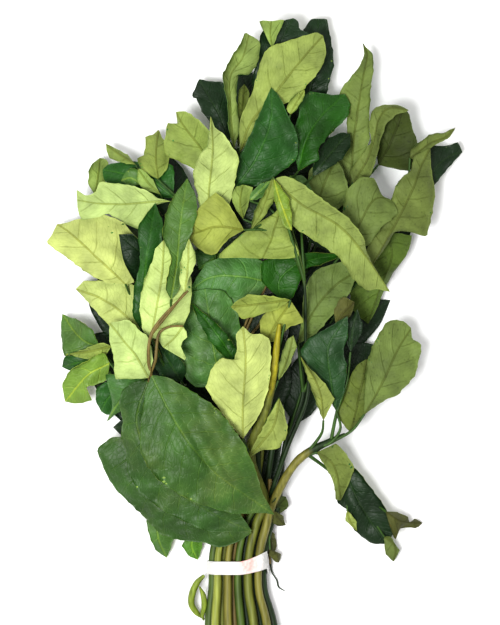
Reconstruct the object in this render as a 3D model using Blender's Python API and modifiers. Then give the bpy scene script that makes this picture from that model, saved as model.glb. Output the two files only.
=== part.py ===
"""A tied bunch of fluted pumpkin shoots, lying on a flat surface.

The bunch lies along Y with its cut stems towards -Y, its leaves towards +Y and its thickness
along +Z. The origin is on the surface, under the middle of the tie. The plan is drawn in
steps of PLAN_STEP, x to the right and y down. Each shoot is one closed solid: a stem, its leaf
stalks and its leaflets. The shoots are laid one upon another, from the lowest to the highest,
over a map of the heights that they already reach, so that none of them crosses another.
"""

import math

import bmesh
import bpy
import numpy as np

MM = 0.001
PLAN_STEP = 0.65 * MM
TIE_PLAN = (235, 568)

BLADE = 0.7 * MM
BLADE_CLEAR = 1.2 * MM
STEM_RADIUS = 3.1 * MM
STEM_TOP_RADIUS = 2.0 * MM
STALK_RADIUS = 1.3 * MM
STALK_TOP_RADIUS = 0.7 * MM
STEM_CLEAR = 0.4 * MM
STEM_RING_EVERY = 38 * MM
# Between a held ring and a free one, the free one is lifted only for this share of it and more
LEAST_FREE = 0.35

# Where the stems pass the tie: rows, one upon another, with their stems a step apart
STEM_STEP = 2 * STEM_RADIUS + 0.5 * MM
ROW_STEP = STEM_STEP * 0.88
# From the cut ends on: the plan's y, the bundle's middle there, and how far it spreads
TIE_STATIONS = (
    (684, 246, 1.45),
    (625, 241, 1.25),
    (590, 238, 1.0),
    (555, 239, 1.0),
    (525, 246, 1.0),
    (500, 254, 1.0),
)
CUT_STAGGER = 9

TIE_WIDTH = 8.5 * MM
TIE_THICKNESS = 0.8 * MM
TIE_CLEAR = 0.35 * MM
LOWEST_STEM = TIE_THICKNESS + TIE_CLEAR + STEM_RADIUS

MAP_CELL = 0.5 * MM
MAP_LOW = np.array([-150 * MM, -120 * MM])
MAP_CELLS = (640, 1000)

WAVE_HEIGHT = 1.5 * MM
WAVE_LENGTH = 26 * MM
TOOTH_DEPTH = 0.05
# How far along a hidden leaf its half width is what share of the widest
PLAIN_OUTLINE = ((0.15, 0.62), (0.42, 1.0), (0.75, 0.64))


def leaf(name, rib, left, right, z, edge=(-3, -3), stalk=(), hidden=False):
    """A leaflet by its plan: the rib from base to tip, and its two edges between them."""
    return {
        "name": name,
        "rib": rib,
        "sides": (left, right),
        "z": z,
        "edge": edge,
        "stalk": stalk,
        "hidden": hidden,
    }


def plain_leaf(name, base, tip, width, z, edge=(-3, -3)):
    """A leaflet that mostly lies hidden, with an outline that follows PLAIN_OUTLINE."""
    base, tip = np.array(base, float), np.array(tip, float)
    run = tip - base
    out = np.array([run[1], -run[0]]) / np.linalg.norm(run) * width / 2
    left = [tuple(base + run * t + out * share) for t, share in PLAIN_OUTLINE]
    right = [tuple(base + run * t - out * share) for t, share in PLAIN_OUTLINE]
    rib = [tuple(base), tuple(base + run / 2), tuple(tip)]
    return leaf(name, rib, left, right, z, edge, hidden=True)


# The shoots, from the lowest to the highest. A route is the stem's plan from the tie on, and
# slot is where it passes the tie. Heights are in millimetres: z is the rib's height at its
# base, middle and tip, where nothing below lifts it, and edge is how far each edge stands
# above the rib.
SHOOTS = [
    {
        "name": "shoot_top_back",
        "slot": (-1, 0),
        "colour": (0.045, 0.13, 0.035),
        "route": [(254, 440, 4), (254, 380, 4), (256, 300, 5), (262, 200, 10), (268, 115, 20)],
        "leaves": [
            plain_leaf("low_1", (262, 215), (215, 150), 58, (8, 8, 0)),
            plain_leaf("low_2", (264, 190), (330, 130), 60, (8, 9, 0)),
            plain_leaf("low_3", (266, 160), (240, 60), 52, (12, 12, 0)),
            plain_leaf("low_4", (268, 140), (305, 55), 50, (14, 16, 8)),
            leaf(
                "back_right",
                [(300, 120), (314, 75), (318, 35), (318, 15)],
                [(298, 95), (303, 65), (302, 40), (305, 22)],
                [(325, 105), (335, 70), (331, 33), (326, 18)],
                (16, 20, 12),
            ),
            leaf(
                "back_tall",
                [(268, 112), (272, 75), (280, 45), (293, 18)],
                [(252, 95), (256, 62), (262, 35), (276, 21)],
                [(286, 95), (300, 65), (311, 36), (299, 27)],
                (24, 30, 24),
                (2, -2),
            ),
            leaf(
                "back_tall_curl",
                [(277, 50), (273, 36), (269, 21)],
                [(265, 38), (260, 26)],
                [(281, 36), (283, 23)],
                (27, 30, 31),
                (2, 1),
            ),
        ],
    },
    {
        "name": "shoot_top_centre",
        "slot": (0, 0),
        "colour": (0.36, 0.45, 0.13),
        "route": [(263, 440, 4), (262, 380, 4), (262, 300, 5), (250, 200, 12), (236, 155, 24)],
        "leaves": [
            plain_leaf("low_1", (252, 215), (300, 250), 56, (9, 10, 5)),
            plain_leaf("low_2", (246, 190), (196, 135), 46, (12, 12, 4)),
            leaf(
                "top_dark_left",
                [(232, 142), (220, 116), (209, 97), (198, 79)],
                [(213, 128), (203, 113), (193, 96), (193, 86)],
                [(238, 122), (231, 98), (223, 82), (210, 77)],
                (22, 22, 14),
            ),
            leaf(
                "top_big",
                [(238, 152), (252, 116), (277, 93), (304, 60), (326, 36)],
                [(242, 122), (253, 90), (262, 60), (280, 42), (304, 36)],
                [(266, 130), (286, 110), (303, 91), (318, 78), (327, 57)],
                (28, 38, 26),
                (-5, -3),
            ),
            leaf(
                "top_fold",
                [(234, 148), (226, 110), (221, 75), (229, 50), (246, 33)],
                [(241, 125), (237, 92), (236, 70), (243, 50)],
                [(249, 120), (252, 92), (259, 60), (260, 42)],
                (26, 30, 26),
                (14, 5),
            ),
        ],
    },
    {
        "name": "shoot_upper_right",
        "slot": (1, 0),
        "colour": (0.19, 0.26, 0.045),
        "route": [(274, 440, 4), (282, 390, 4), (298, 300, 5), (322, 230, 14), (346, 188, 22)],
        "leaves": [
            plain_leaf("low_1", (300, 290), (372, 245), 56, (8, 8, 0)),
            plain_leaf("low_2", (316, 245), (346, 140), 60, (12, 12, 4)),
            plain_leaf("low_3", (306, 270), (262, 215), 46, (12, 16, 12)),
            leaf(
                "right_tall",
                [(348, 188), (352, 150), (356, 110), (361, 72), (364, 41)],
                [(333, 176), (330, 150), (336, 120), (341, 94), (350, 76), (356, 53)],
                [(362, 172), (371, 145), (371, 100), (373, 74), (374, 54)],
                (22, 25, 14),
                (-4, 3),
            ),
            leaf(
                "right_arch",
                [(374, 186), (380, 150), (390, 128), (410, 120)],
                [(368, 165), (367, 125), (377, 106), (402, 105)],
                [(392, 180), (411, 172), (422, 148), (419, 130)],
                (22, 34, 24),
                (-9, -10),
            ),
            leaf(
                "right_olive",
                [(317, 204), (325, 182), (336, 159)],
                [(306, 194), (309, 172), (324, 160)],
                [(335, 210), (348, 198), (349, 180)],
                (30, 36, 32),
            ),
        ],
    },
    {
        "name": "shoot_far_right",
        "slot": (2, 0),
        "colour": (0.17, 0.25, 0.05),
        "route": [(287, 440, 4), (300, 390, 4), (320, 340, 5), (345, 295, 12), (372, 264, 24)],
        "leaves": [
            plain_leaf("low_0", (296, 425), (312, 345), 44, (9, 9, 5)),
            plain_leaf("low_1", (318, 345), (392, 300), 48, (8, 8, 0)),
            plain_leaf("low_2", (350, 290), (418, 205), 50, (12, 12, 4)),
            leaf(
                "hanging_dark",
                [(386, 236), (394, 262), (384, 296), (369, 326)],
                [(370, 252), (364, 282), (362, 308)],
                [(420, 236), (408, 262), (393, 289), (379, 314)],
                (24, 14, 6),
            ),
            leaf(
                "far_dark_tip",
                [(412, 196), (434, 172), (450, 154), (462, 146)],
                [(416, 168), (432, 145), (450, 140)],
                [(436, 191), (443, 177), (458, 159)],
                (20, 18, 8),
                stalk=[(402, 226)],
            ),
            leaf(
                "far_pale_curl",
                [(411, 160), (432, 141), (456, 127)],
                [(414, 150), (432, 136), (443, 131)],
                [(430, 152), (447, 141)],
                (24, 26, 18),
                (3, -2),
                stalk=[(400, 228), (408, 192)],
            ),
            leaf(
                "far_big",
                [(372, 265), (398, 215), (412, 182), (431, 149)],
                [(376, 243), (386, 215), (394, 194), (404, 178), (416, 160)],
                [(388, 258), (412, 240), (428, 236), (433, 215), (438, 188), (438, 166)],
                (34, 34, 20),
                (-2, -8),
            ),
        ],
    },
    {
        "name": "shoot_centre_dark",
        "slot": (0.5, 1),
        "colour": (0.03, 0.1, 0.03),
        "route": [(257, 440, 8), (257, 380, 8), (258, 300, 9), (246, 230, 20), (236, 190, 34)],
        "leaves": [
            plain_leaf("low_0", (257, 425), (284, 335), 46, (12, 14, 8)),
            plain_leaf("low_1", (256, 290), (205, 255), 58, (14, 18, 10)),
            plain_leaf("low_2", (250, 240), (222, 190), 44, (20, 22, 16)),
            leaf(
                "dark_right_behind",
                [(312, 178), (326, 160), (338, 145), (350, 134)],
                [(314, 158), (328, 140), (340, 133)],
                [(330, 172), (345, 160), (352, 146)],
                (20, 20, 14),
            ),
            leaf(
                "dark_right",
                [(297, 170), (306, 140), (322, 116), (346, 93)],
                [(294, 138), (297, 110), (306, 96), (326, 92)],
                [(317, 164), (316, 150), (332, 134), (347, 117)],
                (34, 34, 22),
                (-3, -5),
            ),
            leaf(
                "dark_big",
                [(234, 190), (256, 162), (272, 130), (271, 89)],
                [(238, 164), (253, 137), (261, 113)],
                [(256, 186), (275, 173), (292, 164), (298, 146), (294, 126), (285, 107)],
                (40, 46, 36),
                (-6, -5),
            ),
            leaf(
                "small_fold",
                [(288, 115), (295, 105), (304, 92)],
                [(286, 107), (295, 97)],
                [(295, 113), (301, 103)],
                (38, 40, 36),
                (2, 2),
            ),
        ],
    },
    {
        "name": "shoot_right_dark",
        "slot": (2.5, 1),
        "colour": (0.14, 0.22, 0.06),
        "route": [(282, 455, 10), (296, 424, 12), (304, 385, 16), (298, 340, 24)],
        "leaves": [
            plain_leaf("low_1", (304, 385), (396, 350), 52, (12, 14, 4)),
            plain_leaf("low_2", (300, 350), (320, 265), 44, (16, 18, 14)),
            leaf(
                "right_olive_low",
                [(350, 238), (362, 215), (376, 197), (389, 188)],
                [(345, 214), (347, 189), (360, 180), (375, 178)],
                [(366, 246), (380, 226), (393, 203)],
                (36, 42, 34),
                stalk=[(330, 270)],
            ),
            leaf(
                "right_green",
                [(297, 346), (309, 316), (330, 290), (354, 266)],
                [(297, 320), (302, 290), (312, 269), (336, 259)],
                [(314, 338), (336, 315), (352, 298), (360, 281)],
                (26, 34, 30),
            ),
            leaf(
                "right_brown",
                [(334, 330), (343, 312), (350, 299)],
                [(335, 314), (341, 298)],
                [(345, 322), (354, 306)],
                (32, 36, 34),
            ),
        ],
    },
    {
        "name": "shoot_left_middle",
        "slot": (-2, 0),
        "colour": (0.38, 0.47, 0.15),
        "route": [(205, 455, 4), (180, 420, 4), (162, 380, 6), (148, 340, 14), (128, 298, 26)],
        "leaves": [
            plain_leaf("low_1", (176, 420), (92, 385), 54, (6, 6, 0)),
            plain_leaf("low_2", (160, 370), (72, 340), 50, (8, 8, 0)),
            plain_leaf("low_3", (150, 340), (84, 282), 54, (12, 14, 4)),
            plain_leaf("low_4", (140, 310), (100, 222), 56, (14, 16, 5)),
            leaf(
                "left_low_pale",
                [(147, 334), (125, 314), (100, 298), (75, 290)],
                [(144, 306), (135, 286), (116, 280), (97, 278)],
                [(127, 334), (111, 329), (94, 313), (82, 299)],
                (32, 30, 16),
                (-2, -4),
            ),
            leaf(
                "left_big_pale",
                [(122, 288), (96, 258), (71, 234), (50, 230)],
                [(137, 283), (134, 265), (148, 249), (130, 229), (102, 214), (80, 217), (62, 220)],
                [(108, 285), (83, 271), (55, 251), (47, 241)],
                (34, 36, 16),
                (-3, -4),
            ),
        ],
    },
    {
        "name": "shoot_left_top",
        "slot": (-2.5, 1),
        "colour": (0.3, 0.4, 0.1),
        "route": [(212, 455, 8), (200, 410, 6), (192, 350, 8), (184, 270, 16), (172, 203, 32)],
        "leaves": [
            plain_leaf("low_1", (186, 290), (120, 235), 56, (16, 18, 14)),
            plain_leaf("low_2", (180, 240), (112, 196), 44, (16, 16, 5)),
            plain_leaf("low_3", (178, 225), (165, 150), 42, (18, 18, 8)),
            leaf(
                "left_folded_tip",
                [(103, 200), (98, 180), (100, 157)],
                [(88, 190), (90, 168)],
                [(108, 184), (108, 164)],
                (14, 16, 12),
                (3, -3),
                stalk=[(150, 205)],
            ),
            leaf(
                "left_dark",
                [(180, 192), (150, 180), (125, 174), (102, 168)],
                [(172, 166), (140, 161), (118, 162)],
                [(166, 202), (140, 196), (118, 189)],
                (30, 28, 14),
            ),
            leaf(
                "left_small_tip",
                [(136, 165), (119, 154), (105, 144)],
                [(125, 151)],
                [(112, 160)],
                (22, 20, 14),
            ),
            leaf(
                "left_yellow",
                [(152, 203), (126, 204), (99, 203), (75, 201)],
                [(148, 193), (125, 185), (102, 184), (88, 196), (79, 191)],
                [(151, 214), (138, 230), (124, 225), (108, 213), (90, 217), (79, 219)],
                (40, 40, 24),
                (-3, -3),
                stalk=[(172, 202)],
            ),
        ],
    },
    {
        "name": "shoot_upper_left",
        "slot": (-1.5, 1),
        "colour": (0.42, 0.5, 0.17),
        "route": [(229, 455, 9), (226, 410, 6), (221, 340, 10), (217, 280, 20), (214, 238, 36)],
        "leaves": [
            plain_leaf("low_1", (222, 320), (160, 262), 58, (16, 20, 18)),
            plain_leaf("low_3", (223, 380), (180, 325), 52, (12, 16, 14)),
            plain_leaf("low_2", (218, 270), (246, 200), 40, (26, 28, 26)),
            leaf(
                "upper_small_pale",
                [(158, 180), (156, 155), (157, 130)],
                [(146, 168), (143, 142), (149, 133)],
                [(168, 165), (167, 143)],
                (24, 24, 14),
                stalk=[(190, 215)],
            ),
            leaf(
                "upper_pale",
                [(213, 165), (197, 144), (183, 127), (173, 115)],
                [(199, 172), (180, 163), (167, 153), (165, 135)],
                [(214, 143), (205, 129), (191, 114), (180, 111)],
                (34, 38, 26),
                (-4, -3),
                stalk=[(214, 205)],
            ),
            leaf(
                "tall_pale",
                [(214, 238), (209, 200), (213, 155), (212, 119)],
                [(203, 222), (198, 200), (193, 176), (199, 157), (205, 134)],
                [(226, 216), (234, 192), (239, 165), (233, 147), (222, 128)],
                (44, 54, 42),
                (3, -4),
            ),
        ],
    },
    {
        "name": "shoot_centre",
        "slot": (-0.5, 1),
        "colour": (0.035, 0.11, 0.03),
        "route": [(242, 450, 9), (238, 410, 10), (234, 360, 24), (252, 308, 30)],
        "leaves": [
            plain_leaf("low_1", (234, 390), (180, 330), 54, (18, 24, 24)),
            plain_leaf("low_2", (240, 350), (290, 290), 50, (24, 28, 26)),
            leaf(
                "centre_dark",
                [(272, 290), (242, 277), (213, 278), (189, 290)],
                [(264, 262), (245, 256), (220, 259), (198, 267)],
                [(260, 306), (232, 302), (206, 300)],
                (32, 38, 34),
            ),
            leaf(
                "centre_fold",
                [(270, 300), (280, 279), (303, 263), (342, 255)],
                [(260, 282), (262, 262), (285, 256), (312, 254)],
                [(288, 300), (299, 288), (303, 270), (322, 262)],
                (34, 38, 38),
                (4, 2),
            ),
            leaf(
                "centre_dark_low",
                [(224, 386), (215, 350), (210, 320), (204, 288)],
                [(200, 387), (186, 380), (179, 340), (182, 305), (190, 290)],
                [(238, 368), (244, 332), (240, 308), (224, 286)],
                (30, 40, 38),
                (-5, -4),
            ),
            leaf(
                "centre_narrow",
                [(244, 371), (218, 335), (190, 303)],
                [(230, 364), (206, 331)],
                [(240, 354), (216, 323), (200, 307)],
                (38, 44, 40),
                (2, 1),
            ),
        ],
    },
    {
        "name": "shoot_diagonal",
        "slot": (1.5, 1),
        "colour": (0.34, 0.44, 0.12),
        "route": [
            (274, 472, 12),
            (288, 446, 16),
            (304, 420, 20),
            (308, 375, 24),
            (303, 320, 26),
            (294, 262, 34),
            (282, 220, 44),
            (276, 192, 52),
        ],
        "leaves": [
            plain_leaf("low_1", (302, 300), (346, 240), 44, (36, 38, 34)),
            plain_leaf("low_2", (288, 240), (236, 195), 44, (42, 44, 40)),
            leaf(
                "middle_small",
                [(247, 228), (242, 207), (240, 186)],
                [(232, 218), (230, 198)],
                [(252, 213), (251, 194)],
                (46, 50, 44),
                stalk=[(268, 236)],
            ),
            leaf(
                "middle_thin",
                [(249, 201), (260, 191), (270, 183)],
                [(256, 190)],
                [(264, 196)],
                (50, 52, 50),
                stalk=[(262, 212)],
            ),
            leaf(
                "middle_pale",
                [(264, 260), (272, 240), (281, 208)],
                [(235, 260), (221, 258), (240, 236), (263, 221)],
                [(286, 260), (299, 257), (292, 237), (288, 220)],
                (44, 52, 52),
                (-3, -3),
            ),
            leaf(
                "middle_narrow",
                [(251, 231), (264, 207), (273, 179)],
                [(255, 212), (264, 191)],
                [(266, 214), (276, 196)],
                (50, 54, 50),
                (3, 3),
                stalk=[(272, 232)],
            ),
            leaf(
                "middle_diamond",
                [(244, 232), (217, 229), (189, 236)],
                [(232, 212), (215, 196), (200, 211)],
                [(228, 244), (214, 247), (203, 253)],
                (54, 58, 48),
                (-4, -4),
                stalk=[(268, 232)],
            ),
            leaf(
                "diagonal_big",
                [(272, 181), (300, 205), (338, 226), (364, 254), (389, 292)],
                [(286, 179), (307, 187), (331, 207), (351, 224), (364, 241), (382, 272)],
                [(276, 197), (287, 212), (294, 229), (318, 244), (341, 260), (364, 290)],
                (58, 62, 40),
                (-6, -4),
            ),
        ],
    },
    {
        "name": "shoot_centre_left",
        "slot": (-1, 2),
        "colour": (0.3, 0.4, 0.1),
        "route": [(222, 470, 14), (200, 435, 14), (176, 395, 20), (164, 360, 30), (154, 338, 40)],
        "leaves": [
            plain_leaf("low_1", (180, 410), (128, 360), 48, (20, 22, 18)),
            leaf(
                "dark_strip",
                [(141, 328), (148, 265), (156, 203)],
                [(134, 300), (140, 255), (149, 222)],
                [(149, 308), (157, 262), (164, 224)],
                (38, 44, 38),
            ),
            leaf(
                "left_tall_pale",
                [(154, 344), (159, 312), (163, 276), (163, 242)],
                [(142, 326), (140, 300), (146, 272), (152, 252)],
                [(178, 338), (191, 308), (190, 278), (178, 252)],
                (46, 54, 52),
                (-4, -3),
            ),
            leaf(
                "dark_tall",
                [(172, 300), (179, 260), (181, 220), (184, 187)],
                [(167, 285), (172, 250), (164, 235), (168, 212), (176, 195)],
                [(179, 291), (186, 265), (190, 240), (198, 224), (195, 199)],
                (54, 58, 52),
                (3, -3),
            ),
        ],
    },
    {
        "name": "shoot_left_low",
        "slot": (-2, 2),
        "colour": (0.25, 0.42, 0.05),
        "route": [(210, 470, 14), (176, 440, 14), (144, 405, 16), (118, 372, 22)],
        "leaves": [
            plain_leaf("low_1", (160, 430), (112, 428), 34, (14, 14, 8)),
            leaf(
                "left_fold",
                [(100, 347), (82, 335), (60, 314)],
                [(93, 333), (79, 320)],
                [(82, 357), (64, 358), (59, 338)],
                (24, 20, 10),
                (3, -3),
            ),
            leaf(
                "left_narrow_dark",
                [(98, 362), (80, 363), (60, 363)],
                [(80, 357)],
                [(80, 369)],
                (24, 20, 12),
            ),
            leaf(
                "left_narrow_pale",
                [(112, 344), (92, 351), (69, 355)],
                [(98, 343), (82, 347)],
                [(101, 357), (85, 361)],
                (28, 28, 20),
            ),
            leaf(
                "left_dark_green",
                [(120, 384), (108, 400), (97, 416)],
                [(108, 383), (97, 398)],
                [(119, 403), (109, 415)],
                (22, 18, 8),
            ),
            leaf(
                "left_bright",
                [(110, 363), (88, 378), (62, 400)],
                [(98, 356), (76, 371), (64, 385)],
                [(107, 380), (93, 399), (75, 406)],
                (30, 26, 12),
                (2, -3),
            ),
            leaf(
                "left_grey_tip",
                [(146, 378), (122, 400), (106, 422)],
                [(130, 386), (112, 406)],
                [(136, 396), (117, 416)],
                (30, 26, 12),
            ),
        ],
    },
    {
        "name": "shoot_low_middle",
        "slot": (1, 2),
        "colour": (0.4, 0.47, 0.16),
        "route": [
            (256, 476, 18),
            (249, 452, 24),
            (263, 414, 34),
            (275, 394, 38),
            (271, 365, 44),
            (277, 324, 50),
        ],
        "leaves": [
            leaf(
                "centre_yellow",
                [(264, 340), (275, 322), (292, 302)],
                [(256, 326), (262, 312), (279, 303)],
                [(283, 342), (291, 326), (303, 320)],
                (44, 50, 50),
            ),
            leaf(
                "centre_pale_fold",
                [(291, 299), (262, 305), (231, 312)],
                [(270, 296), (250, 296), (237, 300)],
                [(276, 307), (260, 314), (241, 319)],
                (50, 54, 50),
            ),
            leaf(
                "small_pale_low",
                [(278, 397), (275, 425), (263, 442), (250, 457)],
                [(270, 412), (262, 430), (252, 446)],
                [(285, 420), (287, 433), (279, 446), (263, 451)],
                (42, 42, 32),
            ),
            leaf(
                "centre_big_pale",
                [(244, 438), (243, 400), (246, 360), (243, 325)],
                [(226, 417), (208, 388), (212, 370), (222, 355), (231, 335)],
                [(263, 412), (271, 382), (272, 355), (267, 339), (255, 332)],
                (38, 56, 60),
                (-5, -4),
            ),
        ],
    },
    {
        "name": "shoot_right_branch",
        "slot": (2, 2),
        "colour": (0.2, 0.27, 0.06),
        "route": [(281, 482, 18), (295, 465, 24), (304, 455, 28), (325, 447, 26)],
        "leaves": [
            leaf(
                "speckled_left",
                [(358, 421), (359, 394), (367, 359)],
                [(345, 434), (337, 411), (347, 386), (357, 366)],
                [(372, 416), (384, 396), (380, 370)],
                (26, 32, 32),
                stalk=[(345, 435)],
            ),
            leaf(
                "speckled_right",
                [(368, 411), (384, 377), (395, 346), (402, 321)],
                [(362, 392), (366, 360), (372, 338), (386, 322)],
                [(384, 408), (398, 395), (416, 374), (422, 356), (420, 340), (412, 326)],
                (26, 34, 24),
                (-3, -4),
                stalk=[(345, 435), (358, 422)],
            ),
            leaf(
                "blue_green_edge",
                [(348, 350), (352, 330), (357, 309)],
                [(344, 332)],
                [(361, 330)],
                (36, 38, 34),
                stalk=[(338, 405)],
            ),
            leaf(
                "blue_green",
                [(337, 412), (331, 376), (328, 346), (340, 317)],
                [(327, 398), (317, 377), (303, 347), (316, 334), (329, 325)],
                [(344, 394), (346, 365), (349, 337), (347, 322)],
                (32, 42, 42),
                (-3, -3),
                stalk=[(340, 430)],
            ),
            leaf(
                "small_pale_right",
                [(324, 418), (317, 388), (300, 357)],
                [(310, 396), (304, 376)],
                [(332, 398), (321, 376), (310, 363)],
                (36, 44, 42),
                (3, -2),
                stalk=[(322, 435)],
            ),
            leaf(
                "twist_lower",
                [(346, 476), (362, 508), (389, 547)],
                [(358, 470), (370, 486), (384, 507), (393, 536)],
                [(338, 490), (342, 510), (355, 534), (378, 549)],
                (18, 14, 6),
                (5, -4),
                stalk=[(338, 462)],
            ),
            leaf(
                "twist_tip",
                [(385, 538), (397, 549), (395, 564)],
                [(390, 550), (389, 560)],
                [(395, 540), (403, 553)],
                (8, 7, 3),
                stalk=[(378, 528)],
            ),
            leaf(
                "twist_upper",
                [(317, 452), (336, 468), (341, 502)],
                [(326, 444), (346, 448), (357, 468), (354, 488)],
                [(319, 464), (328, 486), (334, 500)],
                (28, 26, 12),
                (-5, -3),
            ),
            leaf(
                "brown_curl",
                [(383, 508), (402, 520), (424, 526)],
                [(403, 512)],
                [(397, 533)],
                (8, 9, 3),
                stalk=[(372, 500)],
            ),
        ],
    },
    {
        "name": "shoot_front",
        "slot": (0, 2),
        "colour": (0.06, 0.17, 0.04),
        "route": [
            (250, 478, 18),
            (212, 456, 26),
            (166, 420, 34),
            (153, 378, 54),
            (152, 338, 64),
            (168, 308, 64),
            (189, 291, 62),
        ],
        "leaves": [
            plain_leaf("low_1", (190, 460), (140, 500), 44, (20, 18, 6)),
            leaf(
                "front_olive_tip",
                [(160, 522), (160, 541), (166, 560)],
                [(146, 524), (153, 543)],
                [(177, 534), (172, 549)],
                (16, 14, 4),
                stalk=[(180, 500)],
            ),
            leaf(
                "front_bright",
                [(186, 536), (191, 547), (198, 561)],
                [(182, 548), (189, 557)],
                [(197, 537), (203, 549)],
                (14, 13, 5),
                stalk=[(196, 505)],
            ),
            leaf(
                "front_lowest",
                [(112, 437), (130, 480), (175, 518), (253, 537)],
                [(96, 450), (104, 476), (116, 500), (140, 527), (165, 545), (203, 551), (235, 549)],
                [(132, 436), (162, 466), (202, 497), (236, 519)],
                (28, 30, 22),
                (-10, -2),
                stalk=[(142, 405)],
            ),
            leaf(
                "front_middle",
                [(149, 380), (138, 425), (166, 480), (212, 514), (254, 536)],
                [(134, 380), (118, 388), (111, 410), (112, 440), (130, 485), (162, 514), (208, 536)],
                [(158, 405), (178, 442), (205, 477), (236, 508)],
                (48, 40, 26),
                (-8, -2),
            ),
            leaf(
                "front_pale",
                [(151, 376), (138, 356), (125, 340), (111, 324)],
                [(131, 379), (117, 377), (112, 350), (108, 333)],
                [(155, 355), (151, 335), (137, 323), (122, 321)],
                (58, 56, 44),
                (-4, -2),
            ),
            leaf(
                "bright_strip",
                [(189, 292), (188, 268), (190, 242)],
                [(181, 282), (181, 256)],
                [(197, 285), (199, 256)],
                (62, 62, 58),
                (2, 2),
            ),
            leaf(
                "front_big",
                [(155, 378), (175, 416), (195, 448), (222, 479), (274, 514)],
                [(170, 376), (192, 389), (220, 407), (238, 430), (253, 455), (262, 476), (268, 499)],
                [(144, 396), (144, 430), (140, 451), (150, 473), (166, 489), (215, 511), (255, 515)],
                (60, 56, 30),
                (-5, -7),
            ),
        ],
    },
]


def on_plan(points):
    """Plan points, with or without a height in millimetres, as metres from the origin."""
    placed = []
    for x, y, *z in points:
        height = z[0] * MM if z else 0.0
        placed.append(((x - TIE_PLAN[0]) * PLAN_STEP, (TIE_PLAN[1] - y) * PLAN_STEP, height))
    return np.array(placed)


def smooth_curve(points, count):
    """Points at even distances along a smooth curve through the given ones."""
    p = np.vstack([2 * points[0] - points[1], points, 2 * points[-1] - points[-2]])
    t = np.linspace(0, 1, 12, endpoint=False)[:, None]
    pieces = []
    for a, b, c, d in zip(p, p[1:], p[2:], p[3:]):
        bend = (2 * a - 5 * b + 4 * c - d) * t**2 + (3 * b - a - 3 * c + d) * t**3
        pieces.append(b + ((c - a) * t + bend) / 2)
    curve = np.vstack([*pieces, points[-1:]])
    run = np.concatenate([[0], np.cumsum(np.linalg.norm(np.diff(curve, axis=0), axis=1))])
    at = np.linspace(0, run[-1], count)
    return np.column_stack([np.interp(at, run, axis) for axis in curve.T])


def length_of(points):
    return float(np.linalg.norm(np.diff(points, axis=0), axis=1).sum())


class HeightMap:
    """How high the bunch reaches so far, over a grid of small cells on the surface."""

    def __init__(self):
        self.top = np.zeros(MAP_CELLS)
        self.around = self.top.copy()

    def cells(self, points):
        cell = np.floor((points[..., :2] - MAP_LOW) / MAP_CELL).astype(int)
        return np.clip(cell[..., 0], 0, MAP_CELLS[0] - 1), np.clip(
            cell[..., 1], 0, MAP_CELLS[1] - 1
        )

    def height(self, points):
        return self.around[self.cells(points)]

    def add(self, points):
        np.maximum.at(self.top, self.cells(points), points[..., 2])

    def settle(self):
        """Lets each cell stand as high as the cells beside it, for room to the side."""
        wide = np.maximum(self.top, np.maximum(np.roll(self.top, 1, 0), np.roll(self.top, -1, 0)))
        self.around = np.maximum(wide, np.maximum(np.roll(wide, 1, 1), np.roll(wide, -1, 1)))


def share_points(steps):
    """The corner shares of evenly spread points in a triangle."""
    shares = []
    for i in range(steps + 1):
        for j in range(steps + 1 - i):
            shares.append((i / steps, j / steps, 1 - (i + j) / steps))
    return np.array(shares)


LIFT_SHARES = share_points(10)
MAP_SHARES = share_points(24)


def raise_over(z, corners, shares, ground, tie_ends):
    """Raises heights until each point between them clears the ground under it."""
    push_shares = shares / (shares**2).sum(axis=-1, keepdims=True)
    for _ in range(60):
        short = ground - (z[corners][:, None, :] * shares).sum(axis=-1)
        if short.max() < 0.01 * MM:
            break
        push = np.maximum(short, 0)[..., None] * push_shares
        rise = np.zeros_like(z)
        np.maximum.at(rise, corners, push.max(axis=1))
        z = tie_ends(z + rise)
    return z


def grid_faces(rows, columns):
    """The corners of the triangles of a grid whose first and last rows are single points."""
    faces = []
    for i in range(rows - 1):
        for j in range(columns - 1):
            a, b = i * columns + j, i * columns + j + 1
            c, d = b + columns, a + columns
            if i > 0:
                faces.append((a, b, d) if (i + j) % 2 else (a, b, c))
            if i < rows - 2:
                faces.append((b, c, d) if (i + j) % 2 else (a, c, d))
            elif i > 0 and (i + j) % 2 == 0:
                faces[-1] = (a, b, c)
    return np.array(faces)


def leaf_grid(spec):
    """The corner points of a leaflet, row by row from its base to its tip."""
    rib = on_plan(spec["rib"])
    left, right = (
        np.vstack([rib[:1], on_plan(side), rib[-1:]]) for side in spec["sides"]
    )
    long = length_of(rib)
    wide = max(np.linalg.norm(left[len(left) // 2] - right[len(right) // 2]), 1 * MM)
    rows = 8 if long > 90 * MM else 6 if long > 50 * MM else 5 if long > 28 * MM else 4
    if spec["hidden"]:
        rows = 5
    half = 2 if wide > 22 * MM and not spec["hidden"] else 1
    middle, left, right = (smooth_curve(line, rows) for line in (rib, left, right))
    t = np.linspace(0, 1, rows)
    base, mid, tip = (value * MM for value in spec["z"])
    middle[:, 2] = base * (1 - t) * (1 - 2 * t) + mid * 4 * t * (1 - t) + tip * t * (2 * t - 1)
    grid = np.zeros((rows, 2 * half + 1, 3))
    for j in range(2 * half + 1):
        share = abs(j - half) / half
        side, edge = (left, spec["edge"][0]) if j < half else (right, spec["edge"][1])
        tooth = 1 + TOOTH_DEPTH * np.cos(math.pi * np.arange(rows)) * share**4
        grid[:, j] = middle + (side - middle) * (share * tooth)[:, None]
        body = np.sin(math.pi * t) ** 0.5
        wave = WAVE_HEIGHT * np.sin(2 * math.pi * t * long / WAVE_LENGTH + 2.0 * np.sign(j - half))
        grid[:, j, 2] = middle[:, 2] + (edge * MM * share**1.5 + wave * share**2) * body
    grid[0] = middle[0]
    grid[-1] = middle[-1]
    return grid


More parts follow.
